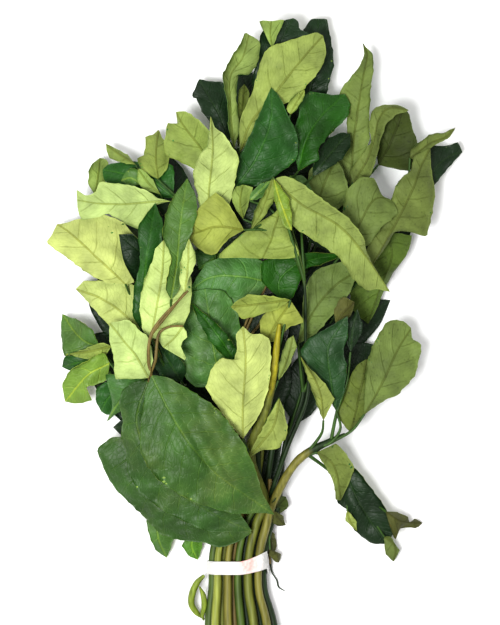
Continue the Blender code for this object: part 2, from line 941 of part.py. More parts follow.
def drape(grid, heights):
    """Lifts a leaflet until it lies clear above all that the map holds."""
    rows, columns, _ = grid.shape
    points = grid.reshape(-1, 3)
    corners = grid_faces(rows, columns)
    between = np.einsum("ks,fsc->fkc", LIFT_SHARES, points[corners])
    under = heights.height(between)
    ground = np.where(under > 0, under + BLADE_CLEAR, BLADE / 2 + 0.1 * MM)

    def tie_ends(z):
        z[:columns] = z[:columns].max()
        z[-columns:] = z[-columns:].max()
        return z

    lifted = raise_over(points[:, 2].copy(), corners, LIFT_SHARES[None], ground, tie_ends)
    lift = (lifted - points[:, 2]).reshape(rows, columns)
    for _ in range(2):
        spread = lift.copy()
        spread[1:-1] = (lift[:-2] + lift[1:-1] + lift[2:]) / 3
        spread[:, 1:-1] = (spread[:, :-2] + spread[:, 1:-1] + spread[:, 2:]) / 3
        lift = np.maximum(lift, spread)
    lift[0], lift[-1] = lift[0].max(), lift[-1].max()
    draped = grid.copy()
    draped[..., 2] += lift
    return draped, corners


def lay_tube(path, radii, heights, held):
    """Lifts a tube's middle line, but for what is held, clear above all that the map holds."""
    count = len(path)
    corners = np.array([(i, i + 1) for i in range(count - 1)])
    run = np.diff(path[:, :2], axis=0)
    aside = np.column_stack([run[:, 1], -run[:, 0]])
    aside /= np.maximum(np.linalg.norm(aside, axis=1, keepdims=True), 1e-9)
    ground, shares = [], []
    for share in np.linspace(0, 1, 12):
        radius = radii[:-1] * (1 - share) + radii[1:] * share
        for across in np.linspace(-1, 1, 9):
            spot = path[:-1, :2] * (1 - share) + path[1:, :2] * share
            spot = spot + aside * (radius * across)[:, None]
            drop = radius * math.sqrt(max(1 - across**2, 0))
            free = np.where(held[:-1], 0, 1 - share) + np.where(held[1:], 0, share)
            need = heights.height(spot) + STEM_CLEAR + drop
            ground.append(np.where(free < LEAST_FREE, 0, need))
            shares.append((1 - share, share))
    ground = np.array(ground).T
    shares = np.array(shares)[None]

    def keep(z):
        return np.where(held, path[:, 2], z)

    lifted = path.copy()
    lifted[:, 2] = raise_over(path[:, 2].copy(), corners, shares, ground, keep)
    return lifted


def map_leaf(grid, corners, heights):
    points = grid.reshape(-1, 3)[corners]
    spots = np.einsum("ks,fsc->fkc", MAP_SHARES, points)
    spots[..., 2] += BLADE / 2
    heights.add(spots)


def map_tube(path, radii, heights):
    run = np.diff(path[:, :2], axis=0)
    aside = np.column_stack([run[:, 1], -run[:, 0]])
    aside /= np.maximum(np.linalg.norm(aside, axis=1, keepdims=True), 1e-9)
    for share in np.linspace(0, 1, 30):
        radius = radii[:-1] * (1 - share) + radii[1:] * share
        spot = path[:-1] * (1 - share) + path[1:] * share
        for across in np.linspace(-1, 1, 11):
            side = spot.copy()
            side[:, :2] += aside * (radius * across)[:, None]
            side[:, 2] += radius * math.sqrt(max(1 - across**2, 0))
            heights.add(side)


def make_leaf(name, grid, collection):
    """A leaflet as a thin closed blade: a warped grid, its ends welded, with Solidify."""
    rows, columns, _ = grid.shape
    bm = bmesh.new()
    for point in grid.reshape(-1, 3):
        bm.verts.new(point)
    bm.verts.ensure_lookup_table()
    for face in grid_faces(rows, columns):
        bm.faces.new([bm.verts[int(i)] for i in face])
    bmesh.ops.remove_doubles(bm, verts=bm.verts, dist=0.01 * MM)
    loose = [vert for vert in bm.verts if not vert.link_faces]
    bmesh.ops.delete(bm, geom=loose, context="VERTS")
    bmesh.ops.recalc_face_normals(bm, faces=bm.faces)
    mesh = bpy.data.meshes.new(name)
    bm.to_mesh(mesh)
    bm.free()
    blade = bpy.data.objects.new(name, mesh)
    collection.objects.link(blade)
    thicken = blade.modifiers.new("Blade", "SOLIDIFY")
    thicken.thickness = BLADE
    thicken.offset = 0
    return blade


def make_tube(name, path, radii, sides, collection):
    """A tapered tube as a mesh, from a curve with a round bevel and filled caps."""
    curve = bpy.data.curves.new(name, "CURVE")
    curve.dimensions = "3D"
    curve.bevel_depth = 1.0
    curve.bevel_resolution = sides // 2 - 2
    curve.use_fill_caps = True
    spline = curve.splines.new("POLY")
    spline.points.add(len(path) - 1)
    for point, place, radius in zip(spline.points, path, radii):
        point.co = (*place, 1)
        point.radius = radius
    rod = bpy.data.objects.new(name, curve)
    collection.objects.link(rod)
    bpy.context.view_layer.update()
    mesh = bpy.data.meshes.new_from_object(
        rod.evaluated_get(bpy.context.evaluated_depsgraph_get())
    )
    bpy.data.objects.remove(rod)
    bpy.data.curves.remove(curve)
    bm = bmesh.new()
    bm.from_mesh(mesh)
    bmesh.ops.remove_doubles(bm, verts=bm.verts, dist=0.01 * MM)
    bmesh.ops.recalc_face_normals(bm, faces=bm.faces)
    bm.to_mesh(mesh)
    bm.free()
    tube = bpy.data.objects.new(name, mesh)
    collection.objects.link(tube)
    return tube


def make_material(name, colour, roughness):
    material = bpy.data.materials.new(name)
    material.use_nodes = True
    shader = material.node_tree.nodes["Principled BSDF"]
    shader.inputs["Base Color"].default_value = (*colour, 1)
    shader.inputs["Roughness"].default_value = roughness
    shader.inputs["Metallic"].default_value = 0.0
    return material


def nearest_on(path, point):
    return int(np.argmin(np.linalg.norm(path[:, :2] - point[:2], axis=1)))


def stem_path(shoot):
    """The stem from its cut end through its place in the tie, and on along its route."""
    across, row = shoot["slot"]
    height = (LOWEST_STEM + row * ROW_STEP) / MM
    stations = []
    for plan_y, middle, spread in TIE_STATIONS:
        stations.append((middle + across * spread * STEM_STEP / PLAN_STEP, plan_y, height))
    trim = CUT_STAGGER * math.cos(5 * across + row)
    stations[0] = (stations[0][0], stations[0][1] + trim, height)
    bundled = on_plan(stations)
    onward = np.vstack([bundled[-1:], on_plan(shoot["route"])])
    onward = smooth_curve(onward, int(length_of(onward) / STEM_RING_EVERY) + 2)
    path = np.vstack([bundled, onward[1:]])
    return path, np.arange(len(path)) < len(bundled)


def drop_scraps(mesh):
    """Keeps the largest body of a mesh, without the crumbs that a union can leave."""
    bm = bmesh.new()
    bm.from_mesh(mesh)
    left = set(bm.verts)
    bodies = []
    while left:
        body, reach = set(), [next(iter(left))]
        while reach:
            vert = reach.pop()
            if vert in left:
                left.discard(vert)
                body.add(vert)
                reach.extend(edge.other_vert(vert) for edge in vert.link_edges)
        bodies.append(body)
    bodies.sort(key=len)
    crumbs = [vert for body in bodies[:-1] for vert in body]
    bmesh.ops.delete(bm, geom=crumbs, context="VERTS")
    bm.to_mesh(mesh)
    bm.free()


def build_shoot(shoot, heights, collection):
    """One shoot, laid on what the map holds and joined into a single closed solid."""
    pieces = bpy.data.collections.new(shoot["name"] + "_pieces")
    bpy.context.scene.collection.children.link(pieces)
    path, held = stem_path(shoot)
    radii = np.linspace(STEM_RADIUS, STEM_TOP_RADIUS, len(path))
    radii[: len(path) // 3] = STEM_RADIUS
    path = lay_tube(path, radii, heights, held)
    stem = make_tube(shoot["name"], path, radii, 6, collection)

    mine = HeightMap()
    mine.top = heights.top.copy()
    mine.settle()
    stalks = []
    for spec in shoot["leaves"]:
        grid, corners = drape(leaf_grid(spec), mine)
        make_leaf(spec["name"], grid, pieces)
        map_leaf(grid, corners, mine)
        mine.settle()
        middle = grid.shape[1] // 2
        base = grid[0, middle]
        via = on_plan(spec["stalk"]) if spec["stalk"] else np.zeros((0, 3))
        aim = via[0] if len(via) else base
        joint = path[max(nearest_on(path, aim) - 1, np.count_nonzero(held))]
        climb = np.linspace(joint[2], base[2], len(via) + 2)[1:-1]
        if len(via):
            via[:, 2] = climb
        line = smooth_curve(np.vstack([joint, via, base]), 3 + 2 * len(via))
        sizes = np.linspace(STALK_RADIUS, STALK_TOP_RADIUS, len(line))
        ends = np.isin(np.arange(len(line)), (0, len(line) - 1))
        line = lay_tube(line, sizes, heights, ends)
        sunk = grid[1:2, middle]
        line = np.vstack([line, sunk])
        sizes = np.concatenate([sizes, [STALK_TOP_RADIUS] * len(sunk)])
        make_tube(spec["name"] + "_stalk", line, sizes, 4, pieces)
        stalks.append((line, sizes))

    join = stem.modifiers.new("Join", "BOOLEAN")
    join.operation = "UNION"
    join.operand_type = "COLLECTION"
    join.collection = pieces
    join.solver = "MANIFOLD"
    bpy.context.view_layer.update()
    mesh = bpy.data.meshes.new_from_object(
        stem.evaluated_get(bpy.context.evaluated_depsgraph_get())
    )
    stem.modifiers.clear()
    drop_scraps(mesh)
    stem.data = mesh
    for piece in list(pieces.objects):
        bpy.data.objects.remove(piece)
    bpy.data.collections.remove(pieces)
    stem.data.materials.clear()
    stem.data.materials.append(make_material(shoot["name"], shoot["colour"], 0.5))

    heights.top = mine.top
    map_tube(path, radii, heights)
    for line, sizes in stalks:
        map_tube(line, sizes, heights)
    heights.settle()
    return path, radii


def around_stems(circles):
    """The outline of a cord pulled tight round circles, as points in their plane."""
    spots = []
    for x, z, radius in circles:
        for step in range(16):
            angle = 2 * math.pi * step / 16 + math.pi / 16
            out = radius / math.cos(math.pi / 16)
            spots.append((x + out * math.cos(angle), z + out * math.sin(angle)))
    spots.sort()

    def half(points):
        line = []
        for point in points:
            while len(line) > 1:
                (ax, az), (bx, bz) = line[-2], line[-1]
                if (bx - ax) * (point[1] - az) - (bz - az) * (point[0] - ax) > 0:
                    break
                line.pop()
            line.append(point)
        return line[:-1]

    return half(spots) + half(spots[::-1])


def build_tie(stems, collection):
    """The flat band round the stems: an extruded outline with Solidify on its outside."""
    circles = []
    for path, _ in stems:
        for y in (-TIE_WIDTH / 2, 0, TIE_WIDTH / 2):
            x, z = (np.interp(y, path[:, 1], path[:, axis]) for axis in (0, 2))
            circles.append((x, z, STEM_RADIUS + TIE_CLEAR))
    outline = around_stems(circles)
    curve = bpy.data.curves.new("tie_band", "CURVE")
    curve.dimensions = "2D"
    curve.fill_mode = "NONE"
    curve.extrude = TIE_WIDTH / 2
    spline = curve.splines.new("POLY")
    spline.points.add(len(outline) - 1)
    spline.use_cyclic_u = True
    for point, (x, z) in zip(spline.points, outline):
        point.co = (x, z, 0, 1)
    ring = bpy.data.objects.new("tie_band_outline", curve)
    ring.rotation_euler = (math.pi / 2, 0, 0)
    collection.objects.link(ring)
    bpy.context.view_layer.update()
    mesh = bpy.data.meshes.new_from_object(
        ring.evaluated_get(bpy.context.evaluated_depsgraph_get())
    )
    bm = bmesh.new()
    bm.from_mesh(mesh)
    bmesh.ops.remove_doubles(bm, verts=bm.verts, dist=0.01 * MM)
    bm.to_mesh(mesh)
    bm.free()
    mesh.transform(ring.matrix_world)
    bpy.data.objects.remove(ring)
    band = bpy.data.objects.new("tie_band", mesh)
    collection.objects.link(band)
    wall = band.modifiers.new("Wall", "SOLIDIFY")
    wall.thickness = TIE_THICKNESS
    wall.offset = 1
    wall.use_even_offset = True
    band.data.materials.append(make_material("tie_band", (0.85, 0.83, 0.79), 0.6))
    return band


def build():
    for old in list(bpy.data.objects):
        bpy.data.objects.remove(old)
    collection = bpy.data.collections.new("tied_bunch")
    bpy.context.scene.collection.children.link(collection)
    heights = HeightMap()
    stems = [build_shoot(shoot, heights, collection) for shoot in SHOOTS]
    build_tie(stems, collection)


build()
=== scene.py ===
# %% [markdown]
# # A tied bunch of fluted pumpkin shoots
# The bunch lies on a pale surface and is seen from straight above. It is a natural thing: sixteen
# leafy shoots, held by one strip of white plastic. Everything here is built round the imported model,
# which already says how big each shoot is and where it lies.

import math

import bpy
import numpy as np
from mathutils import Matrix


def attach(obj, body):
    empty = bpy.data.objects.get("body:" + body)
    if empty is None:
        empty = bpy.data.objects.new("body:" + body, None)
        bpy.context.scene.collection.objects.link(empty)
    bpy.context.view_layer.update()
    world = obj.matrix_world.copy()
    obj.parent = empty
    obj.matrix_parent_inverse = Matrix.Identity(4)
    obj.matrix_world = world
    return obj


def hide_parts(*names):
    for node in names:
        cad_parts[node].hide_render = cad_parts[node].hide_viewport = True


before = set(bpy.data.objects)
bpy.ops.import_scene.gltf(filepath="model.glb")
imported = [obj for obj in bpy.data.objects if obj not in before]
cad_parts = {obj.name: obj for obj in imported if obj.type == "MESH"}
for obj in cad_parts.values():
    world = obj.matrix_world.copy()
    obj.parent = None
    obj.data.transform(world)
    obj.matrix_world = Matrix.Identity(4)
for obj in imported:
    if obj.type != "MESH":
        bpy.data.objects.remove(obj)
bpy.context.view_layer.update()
MM = 0.001
print("nodes in the frame:", len(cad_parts))

# %% [markdown]
# ## Looks
# A fluted pumpkin leaflet has two unlike faces. Its upper face is dark green with a waxy gloss. Its
# underside is pale and matt. In the bunch many leaflets lie face down, and that is where the pale
# patches come from. So each leaflet gets a look: which face is up, and the two faces' colours.
# Painting both faces with one colour would be simpler, but a curled edge would then never show.

# %% Colours
def linear(hex_colour):
    """An sRGB hex colour as the linear values that Blender's shaders work in."""
    parts = [int(hex_colour[i : i + 2], 16) / 255 for i in (1, 3, 5)]
    return tuple(c / 12.92 if c <= 0.04045 else ((c + 0.055) / 1.055) ** 2.4 for c in parts)


# Each look: the face that is up, the upper face's colour, the underside's, and how much of its
# marks it shows: a painted pale grey sheen on an upper face, dark specks on an underside. The names
# say how the leaflet reads in the heap, since the light and a leaf's age change its green. The
# darkest look and the looks shadow and shade are partly painted shade: darker greens for leaflets
# that lie under others, inside an arch or in the gaps
LOOKS = {
    "dark": ("upper", "#1F4C14", "#7E9446", 0.2),
    "deep": ("upper", "#0F280C", "#6E843C", 0.1),
    "teal": ("upper", "#1B3E1A", "#7E9446", 0.12),
    "blue": ("upper", "#40662E", "#7E9446", 0.35),
    "mid": ("upper", "#43652A", "#8A9C46", 0.2),
    "front": ("upper", "#395A20", "#7E9446", 0.7),
    "shadow": ("upper", "#2C4A1A", "#7E9446", 0.5),
    "vivid": ("upper", "#1E4C0A", "#7E9446", 0.0),
    "bright": ("upper", "#527F2C", "#A5B950", 0.1),
    "fresh": ("upper", "#68822F", "#A5B950", 0.1),
    "pale": ("under", "#3F7330", "#A7B66D", 0.08),
    "lime": ("under", "#3F7330", "#7E9048", 0.15),
    "amber": ("under", "#3F7330", "#838F42", 0.15),
    "sage": ("under", "#356830", "#82914C", 0.2),
    "olive": ("under", "#2A5A24", "#606F37", 0.3),
    "moss": ("under", "#2A5A24", "#58672A", 0.5),
    "fern": ("under", "#2A5A24", "#4E6424", 0.4),
    "shade": ("under", "#2A5A24", "#364316", 0.4),
    "brown": ("under", "#4C4A1C", "#4A4E22", 0.4),
}
STEM_COLOURS = {
    "green": "#445820",
    "olive": "#626828",
    "light": "#80883A",
    "tan": "#6F6C30",
    "yellow": "#928C20",
    "brown": "#6A5C30",
    # Near black: partly a stem's own dark green, partly painted shade where a stem runs through the
    # dark gaps
    "dark": "#1C2F12",
    "fresh": "#74852F",
}
STALK_GREEN = "#33501A"
print("leaf looks:", ", ".join(LOOKS))

# %% [markdown]
# ## How a leaflet is written down
# A leaflet is drawn in plan, as a botanist would trace it: its midrib from base to tip, and the
# outline on each side. The plan counts in steps of 0.65 mm, with x to the right and y down, so that
# the plan's frame is 325 mm wide. Heights are in millimetres. The outlines follow those of the
# packed shoots within a few millimetres, with more points where an edge is torn or bent, so the
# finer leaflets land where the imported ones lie.

# %% The plan and the lists
PLAN_STEP = 0.65 * MM
TIE_PLAN = (235, 568)
shoots = []


def begin_shoot(name, slot, colour, route, tip=None, taper=1.3, stout=1.0):
    """Starts a shoot. slot is its stem's place across and up in the tie, and route where the stem
    runs from there. tip is the colour it turns to and the share of its length at which it does.
    A high taper keeps it thick for long, and stout is how much thicker it is past the tie."""
    shoots.append({"name": name, "slot": slot, "colour": colour, "route": route, "leaves": [],
                   "sprigs": [], "tip": tip or (colour, 1.0), "taper": taper, "stout": stout})


def sprig(colour, points, thickness):
    """Adds a small bare shoot or tendril, with its thickness in millimetres from end to end."""
    shoots[-1]["sprigs"].append((colour, points, thickness))


def leaf(name, look, rib, left, right, z, edge=(-3, -3), stalk=(), hidden=False):
    """Adds a leaflet. z is the rib's height at base, middle and tip, edge how far each edge stands
    above the rib, and stalk where the stalk runs, if it isn't straight."""
    shoots[-1]["leaves"].append(
        {"name": name, "look": look, "rib": rib, "sides": (left, right), "z": z, "edge": edge,
         "stalk": stalk, "hidden": hidden}
    )


PLAIN_OUTLINE = ((0.15, 0.62), (0.42, 1.0), (0.75, 0.64))


def low_leaf(name, base, tip, width, z, edge=(-3, -3)):
    """Adds a leaflet that mostly lies hidden, with an outline that follows PLAIN_OUTLINE and a
    near-black look that is painted shade where it shows between others.
    """
    base, tip = np.array(base, float), np.array(tip, float)
    run = tip - base
    out = np.array([run[1], -run[0]]) / np.linalg.norm(run) * width / 2
    left = [tuple(base + run * t + out * share) for t, share in PLAIN_OUTLINE]
    right = [tuple(base + run * t - out * share) for t, share in PLAIN_OUTLINE]
    leaf(name, "deep", [tuple(base), tuple(base + run / 2), tuple(tip)], left, right, z, edge,
         hidden=True)


def show_shoot():
    shoot = shoots[-1]
    print(shoot["name"] + ":", ", ".join(spec["name"] for spec in shoot["leaves"]))


# %% [markdown]
# ## The sixteen shoots, from the lowest up
# They are written from the lowest to the highest, because that is the order in which a hand lays
# them down, and each one rests on those before it. The first five make the far end of the bunch.
# Their last leaflets lie face down, some arched over so that a shaded inside shows, and such an arch
# is two leaflets here: the back of the leaf and its inside, painted darker for the shade that falls
# in it.

# %% Shoot top back
begin_shoot("shoot_top_back", (-1, 0), "green",
            [(254, 440, 4), (254, 380, 4), (256, 300, 5), (262, 200, 10), (268, 115, 20)])
low_leaf("low_1", (262, 215), (215, 150), 58, (8, 8, 0))
low_leaf("low_2", (264, 190), (330, 130), 60, (8, 9, 0))
low_leaf("low_3", (266, 160), (240, 60), 52, (12, 12, 0))
low_leaf("low_4", (268, 140), (305, 55), 50, (14, 16, 8))
# This one lies between the lower stems: a dark leaflet as painted shade in the gap there
low_leaf("low_5", (258, 506), (281, 404), 24, (3, 4, 2))
leaf("back_right", "deep", [(300, 120), (314, 75), (318, 35), (318, 17)],
     [(298, 95), (303, 65), (302, 40), (304, 29), (311, 18)],
     [(322, 105), (331, 75), (334, 62), (331, 38), (327, 18)], (16, 20, 12))
leaf("back_tall", "deep", [(268, 112), (272, 75), (280, 45), (293, 18)],
     [(252, 95), (256, 62), (262, 32), (281, 22)],
     [(286, 95), (300, 65), (311, 36), (299, 29), (298, 21)], (24, 30, 24), edge=(2, -2))
leaf("back_tall_curl", "lime", [(272, 49), (270, 36), (271, 22)],
     [(266, 37), (259, 22)],
     [(277, 36), (284, 21)], (27, 30, 31), edge=(3, 1))
show_shoot()

# %% Shoot top centre
begin_shoot("shoot_top_centre", (0, 0), "olive",
            [(263, 440, 4), (262, 380, 4), (262, 300, 5), (250, 200, 12), (236, 155, 24)])
low_leaf("low_1", (252, 215), (300, 250), 56, (9, 10, 5))
low_leaf("low_2", (246, 190), (196, 135), 46, (12, 12, 4))
leaf("top_dark_left", "deep", [(230, 142), (220, 116), (209, 97), (199, 78)],
     [(213, 126), (201, 108), (197, 98), (192, 96), (196, 85)],
     [(230, 120), (228, 98), (223, 81), (213, 81)], (22, 22, 14))
# The fold's inside is a darker leaflet: painted shade for the shadow inside the fold
leaf("top_fold_inner", "moss", [(238, 148), (241, 115), (244, 84)],
     [(237, 118), (239, 92)],
     [(247, 118), (249, 92)], (24, 27, 26), edge=(2, -2))
leaf("top_big", "sage", [(240, 152), (252, 122), (277, 92), (302, 60), (323, 36)],
     [(240, 121), (253, 92), (261, 62), (269, 49), (300, 38), (316, 33)],
     [(262, 125), (282, 106), (293, 100), (305, 88), (320, 70), (326, 54)],
     (28, 38, 26), edge=(-5, -3))
leaf("top_fold", "sage", [(234, 149), (231, 115), (230, 78), (243, 58), (249, 35)],
     [(229, 130), (228, 105), (223, 78), (232, 58), (240, 46), (245, 33)],
     [(239, 130), (236, 100), (238, 76), (249, 76), (258, 62), (260, 43)],
     (26, 30, 26), edge=(8, 3))
show_shoot()

# %% Shoot upper right
begin_shoot("shoot_upper_right", (1, 0), "dark",
            [(274, 440, 4), (282, 390, 4), (298, 300, 5), (322, 230, 14), (346, 188, 22)])
low_leaf("low_1", (300, 290), (372, 245), 56, (8, 8, 0))
low_leaf("low_2", (316, 245), (346, 140), 60, (12, 12, 4))
low_leaf("low_3", (306, 270), (262, 215), 46, (12, 16, 12))
leaf("right_tall", "olive", [(350, 186), (353, 150), (358, 110), (364, 75), (368, 54), (363, 41)],
     [(342, 172), (339, 155), (347, 138), (347, 115), (340, 92), (351, 77), (361, 64), (365, 52)],
     [(360, 168), (369, 140), (369, 115), (370, 90), (373, 72), (373, 54), (367, 47)],
     (22, 25, 14), edge=(-4, 4))
# The arch's inside is painted dark, for the shade that falls inside the arch
leaf("right_arch_inner", "shade", [(379, 164), (392, 140), (402, 111)],
     [(377, 150), (380, 135), (389, 117)],
     [(411, 170), (418, 145), (412, 128), (408, 112)], (12, 24, 30), edge=(-2, -4))
leaf("right_arch", "olive", [(353, 183), (367, 160), (374, 138), (378, 120), (389, 109), (408, 111)],
     [(350, 170), (362, 155), (371, 143), (369, 125), (371, 113), (381, 106), (398, 106)],
     [(362, 182), (371, 174), (376, 158), (380, 140), (386, 124), (396, 115), (405, 113)],
     (22, 34, 34), edge=(-4, -4))
leaf("right_olive", "olive", [(317, 206), (325, 182), (336, 159)],
     [(307, 196), (309, 172), (322, 162)],
     [(337, 210), (349, 196), (343, 172)], (30, 36, 32))
show_shoot()

# %% Shoot far right
begin_shoot("shoot_far_right", (2, 0), "dark",
            [(287, 440, 4), (300, 390, 4), (320, 340, 5), (345, 295, 12), (372, 264, 24)])
low_leaf("low_0", (296, 425), (312, 345), 44, (9, 9, 5))
low_leaf("low_1", (318, 345), (392, 300), 48, (8, 8, 0))
low_leaf("low_2", (350, 290), (416, 208), 44, (12, 12, 4))
leaf("hanging_dark", "fern", [(388, 232), (392, 258), (380, 290), (369, 324)],
     [(368, 250), (352, 280), (352, 308)],
     [(412, 236), (407, 255), (394, 272), (384, 292), (376, 312)], (24, 16, 6))
leaf("far_dark_tip", "deep", [(412, 196), (432, 172), (449, 156), (464, 151)],
     [(418, 168), (430, 146), (449, 145), (459, 141)],
     [(430, 190), (440, 178), (450, 166)], (20, 18, 8), stalk=[(402, 226)])
leaf("far_pale_curl", "olive", [(410, 158), (430, 143), (445, 137), (456, 127)],
     [(411, 150), (420, 142), (433, 134), (444, 133)],
     [(420, 160), (432, 147), (441, 141), (449, 138)],
     (24, 26, 18), edge=(3, -2), stalk=[(400, 228), (408, 192)])
leaf("far_big", "olive", [(372, 265), (396, 222), (412, 190), (420, 168), (430, 148)],
     [(366, 250), (379, 226), (392, 214), (391, 200), (398, 182), (411, 170), (414, 157)],
     [(386, 246), (395, 231), (411, 232), (426, 236), (432, 212), (435, 192), (431, 168)],
     (34, 34, 20), edge=(-2, -8))
show_shoot()

# %% Shoot centre dark
begin_shoot("shoot_centre_dark", (0.5, 1), "dark",
            [(257, 440, 8), (257, 380, 8), (258, 300, 9), (246, 230, 20), (236, 190, 34)])
low_leaf("low_0", (257, 425), (284, 335), 46, (12, 14, 8))
low_leaf("low_1", (256, 290), (205, 255), 58, (14, 18, 10))
low_leaf("low_2", (250, 240), (222, 190), 44, (20, 22, 16))
leaf("dark_right_behind", "deep", [(312, 178), (326, 160), (338, 145), (350, 134)],
     [(314, 158), (328, 140), (340, 133)],
     [(330, 168), (343, 158), (350, 146)], (20, 20, 14))
leaf("dark_right", "vivid", [(298, 172), (306, 142), (320, 118), (345, 94)],
     [(292, 140), (299, 115), (300, 98), (312, 92), (330, 95)],
     [(312, 164), (319, 160), (317, 150), (330, 134), (347, 117), (350, 104)],
     (34, 34, 22), edge=(-3, -5))
leaf("dark_big", "dark", [(236, 188), (256, 160), (270, 125), (271, 89)],
     [(236, 174), (240, 158), (252, 133), (262, 110)],
     [(256, 187), (275, 177), (296, 160), (297, 138), (290, 122), (279, 98)],
     (40, 46, 36), edge=(-6, -5))
leaf("dark_small", "blue", [(312, 206), (304, 190), (290, 176)],
     [(296, 200), (284, 184)],
     [(313, 194), (304, 177)], (34, 38, 34))
leaf("small_fold", "lime", [(290, 116), (296, 104), (304, 91)],
     [(286, 109), (294, 97)],
     [(295, 112), (304, 98)], (38, 40, 36), edge=(2, 2))
show_shoot()

# %% [markdown]
# ## The shoots in the middle
# These carry the broad pale leaflets on the left and the dark ones in the centre. One has a few
# leaflets that dried and curled up beside the tie, with a thin tendril below them, and another
# sends out a small ring-shaped sprout. Such bits are only a few millimetres across, yet they break
# the bunch's straight outline, and a bunch without them looks cut from a pattern.

# %% Shoot right dark
begin_shoot("shoot_right_dark", (2.5, 1), "dark",
            [(282, 455, 10), (296, 424, 12), (304, 385, 16), (298, 340, 24)])
low_leaf("low_1", (304, 385), (396, 350), 52, (12, 14, 4))
low_leaf("low_2", (300, 350), (320, 265), 44, (16, 18, 14))
leaf("dry_curl", "shade", [(269, 513), (279, 505), (286, 498)],
     [(272, 503), (279, 497)],
     [(280, 515), (289, 507)], (10, 13, 9), edge=(5, -3), stalk=[(268, 525)])
leaf("dry_curl_back", "brown", [(273, 511), (278, 519), (286, 527)],
     [(271, 520), (277, 527)],
     [(282, 517)], (9, 9, 6), edge=(3, -2), stalk=[(268, 525)])
leaf("dry_curl_low", "brown", [(268, 529), (271, 542), (273, 557)],
     [(265, 538), (268, 550)],
     [(274, 536), (277, 548)], (7, 8, 5), edge=(3, -2), stalk=[(267, 520)])
leaf("dry_curl_tip", "brown", [(270, 551), (277, 556), (279, 565)],
     [(270, 557), (275, 563)],
     [(281, 556)], (5, 6, 3), edge=(2, -2), stalk=[(267, 540)])
sprig("brown", [(270, 480, 12), (270, 510, 10), (268, 535, 8), (270, 566, 5)], (3.0, 3.4, 2.6, 2.0))
sprig("dark", [(270, 560, 5), (272, 574, 3), (277, 583, 2), (279, 590, 1.5), (285, 594, 1)],
      (2.2, 1.2, 0.9, 1.1, 0.5))
leaf("right_olive_low", "olive", [(352, 242), (362, 218), (374, 200), (390, 200)],
     [(342, 215), (347, 190), (362, 178), (374, 180), (381, 196)],
     [(366, 247), (380, 228), (397, 213)], (36, 42, 34), stalk=[(330, 270)])
leaf("right_green", "olive", [(298, 344), (311, 316), (330, 290), (358, 270)],
     [(302, 318), (304, 292), (314, 272), (330, 265), (348, 262)],
     [(316, 333), (334, 312), (350, 292)], (26, 34, 30))
leaf("right_brown", "brown", [(336, 326), (343, 312), (354, 302)],
     [(334, 312), (341, 297)],
     [(345, 321), (352, 312)], (32, 36, 34))
show_shoot()

# %% Shoot left middle
begin_shoot("shoot_left_middle", (-2, 0), "olive",
            [(205, 455, 4), (180, 420, 4), (162, 380, 6), (148, 340, 14), (128, 298, 26)])
low_leaf("low_1", (176, 420), (92, 385), 54, (6, 6, 0))
low_leaf("low_2", (160, 370), (72, 340), 50, (8, 8, 0))
low_leaf("low_3", (150, 340), (84, 282), 54, (12, 14, 4))
low_leaf("low_4", (140, 310), (100, 222), 56, (14, 16, 5))
leaf("left_low_pale", "pale", [(140, 330), (122, 312), (100, 298), (75, 289)],
     [(142, 306), (135, 286), (118, 283), (97, 281), (84, 281)],
     [(127, 334), (112, 328), (98, 313), (86, 300)], (32, 30, 16), edge=(-2, -4))
leaf("left_big_pale", "pale", [(126, 284), (98, 258), (71, 234), (56, 224)],
     [(134, 283), (134, 268), (146, 256), (138, 240), (128, 225), (104, 215), (78, 219), (65, 223)],
     [(110, 283), (93, 276), (68, 258), (47, 243), (52, 234)], (34, 36, 16), edge=(-3, -4))
show_shoot()

# %% Shoot left top
begin_shoot("shoot_left_top", (-2.5, 1), "green",
            [(212, 455, 8), (200, 410, 6), (192, 350, 8), (184, 270, 16), (172, 203, 32)])
low_leaf("low_1", (186, 290), (120, 235), 56, (16, 18, 14))
low_leaf("low_2", (180, 240), (112, 196), 44, (16, 16, 5))
low_leaf("low_3", (178, 225), (165, 150), 42, (18, 18, 8))
low_leaf("low_4", (196, 388), (160, 300), 46, (8, 12, 12))
sprig("fresh", [(204, 577, 12), (197, 584, 12), (192, 595, 11), (191, 606, 9), (196, 615, 7),
       (204, 622, 5)], (2.0, 4.2, 4.6, 4.4, 4.0, 1.0))
sprig("fresh", [(199, 588, 12), (203, 597, 13), (204, 608, 11), (202, 617, 8), (203, 623, 5)],
      (1.0, 3.6, 4.0, 3.0, 1.0))
leaf("left_folded_tip", "lime", [(94, 194), (97, 176), (99, 157)],
     [(88, 184), (89, 169), (93, 162)],
     [(101, 186), (108, 174), (106, 159)], (14, 16, 12), edge=(3, -3), stalk=[(150, 205)])
leaf("left_dark", "dark", [(174, 198), (150, 180), (125, 174), (102, 169)],
     [(173, 166), (150, 163), (128, 161), (108, 164)],
     [(160, 198), (142, 191), (132, 184), (119, 189), (104, 180)], (30, 28, 14))
# A small paler leaflet on the dark one is a painted highlight where light glints on it
leaf("left_dark_patch", "mid", [(141, 185), (131, 178), (121, 181)],
     [(137, 169), (127, 171)],
     [(132, 186)], (30, 30, 24), edge=(0, -1))
leaf("left_dark_strip", "lime", [(161, 195), (149, 184), (138, 169)],
     [(151, 178), (144, 171)],
     [(146, 190), (138, 182)], (31, 31, 25), edge=(1, -1))
leaf("left_small_tip", "lime", [(136, 165), (119, 154), (105, 143)],
     [(127, 155), (115, 148)],
     [(117, 161), (108, 155)], (22, 20, 14))
leaf("left_yellow", "pale", [(171, 202), (150, 203), (126, 205), (100, 204), (77, 200)],
     [(158, 199), (148, 192), (130, 186), (112, 184), (100, 183), (96, 193), (86, 196), (77, 190)],
     [(158, 205), (151, 212), (147, 224), (139, 230), (122, 221), (109, 214), (96, 218), (82, 220),
      (78, 209)], (40, 40, 24))
show_shoot()

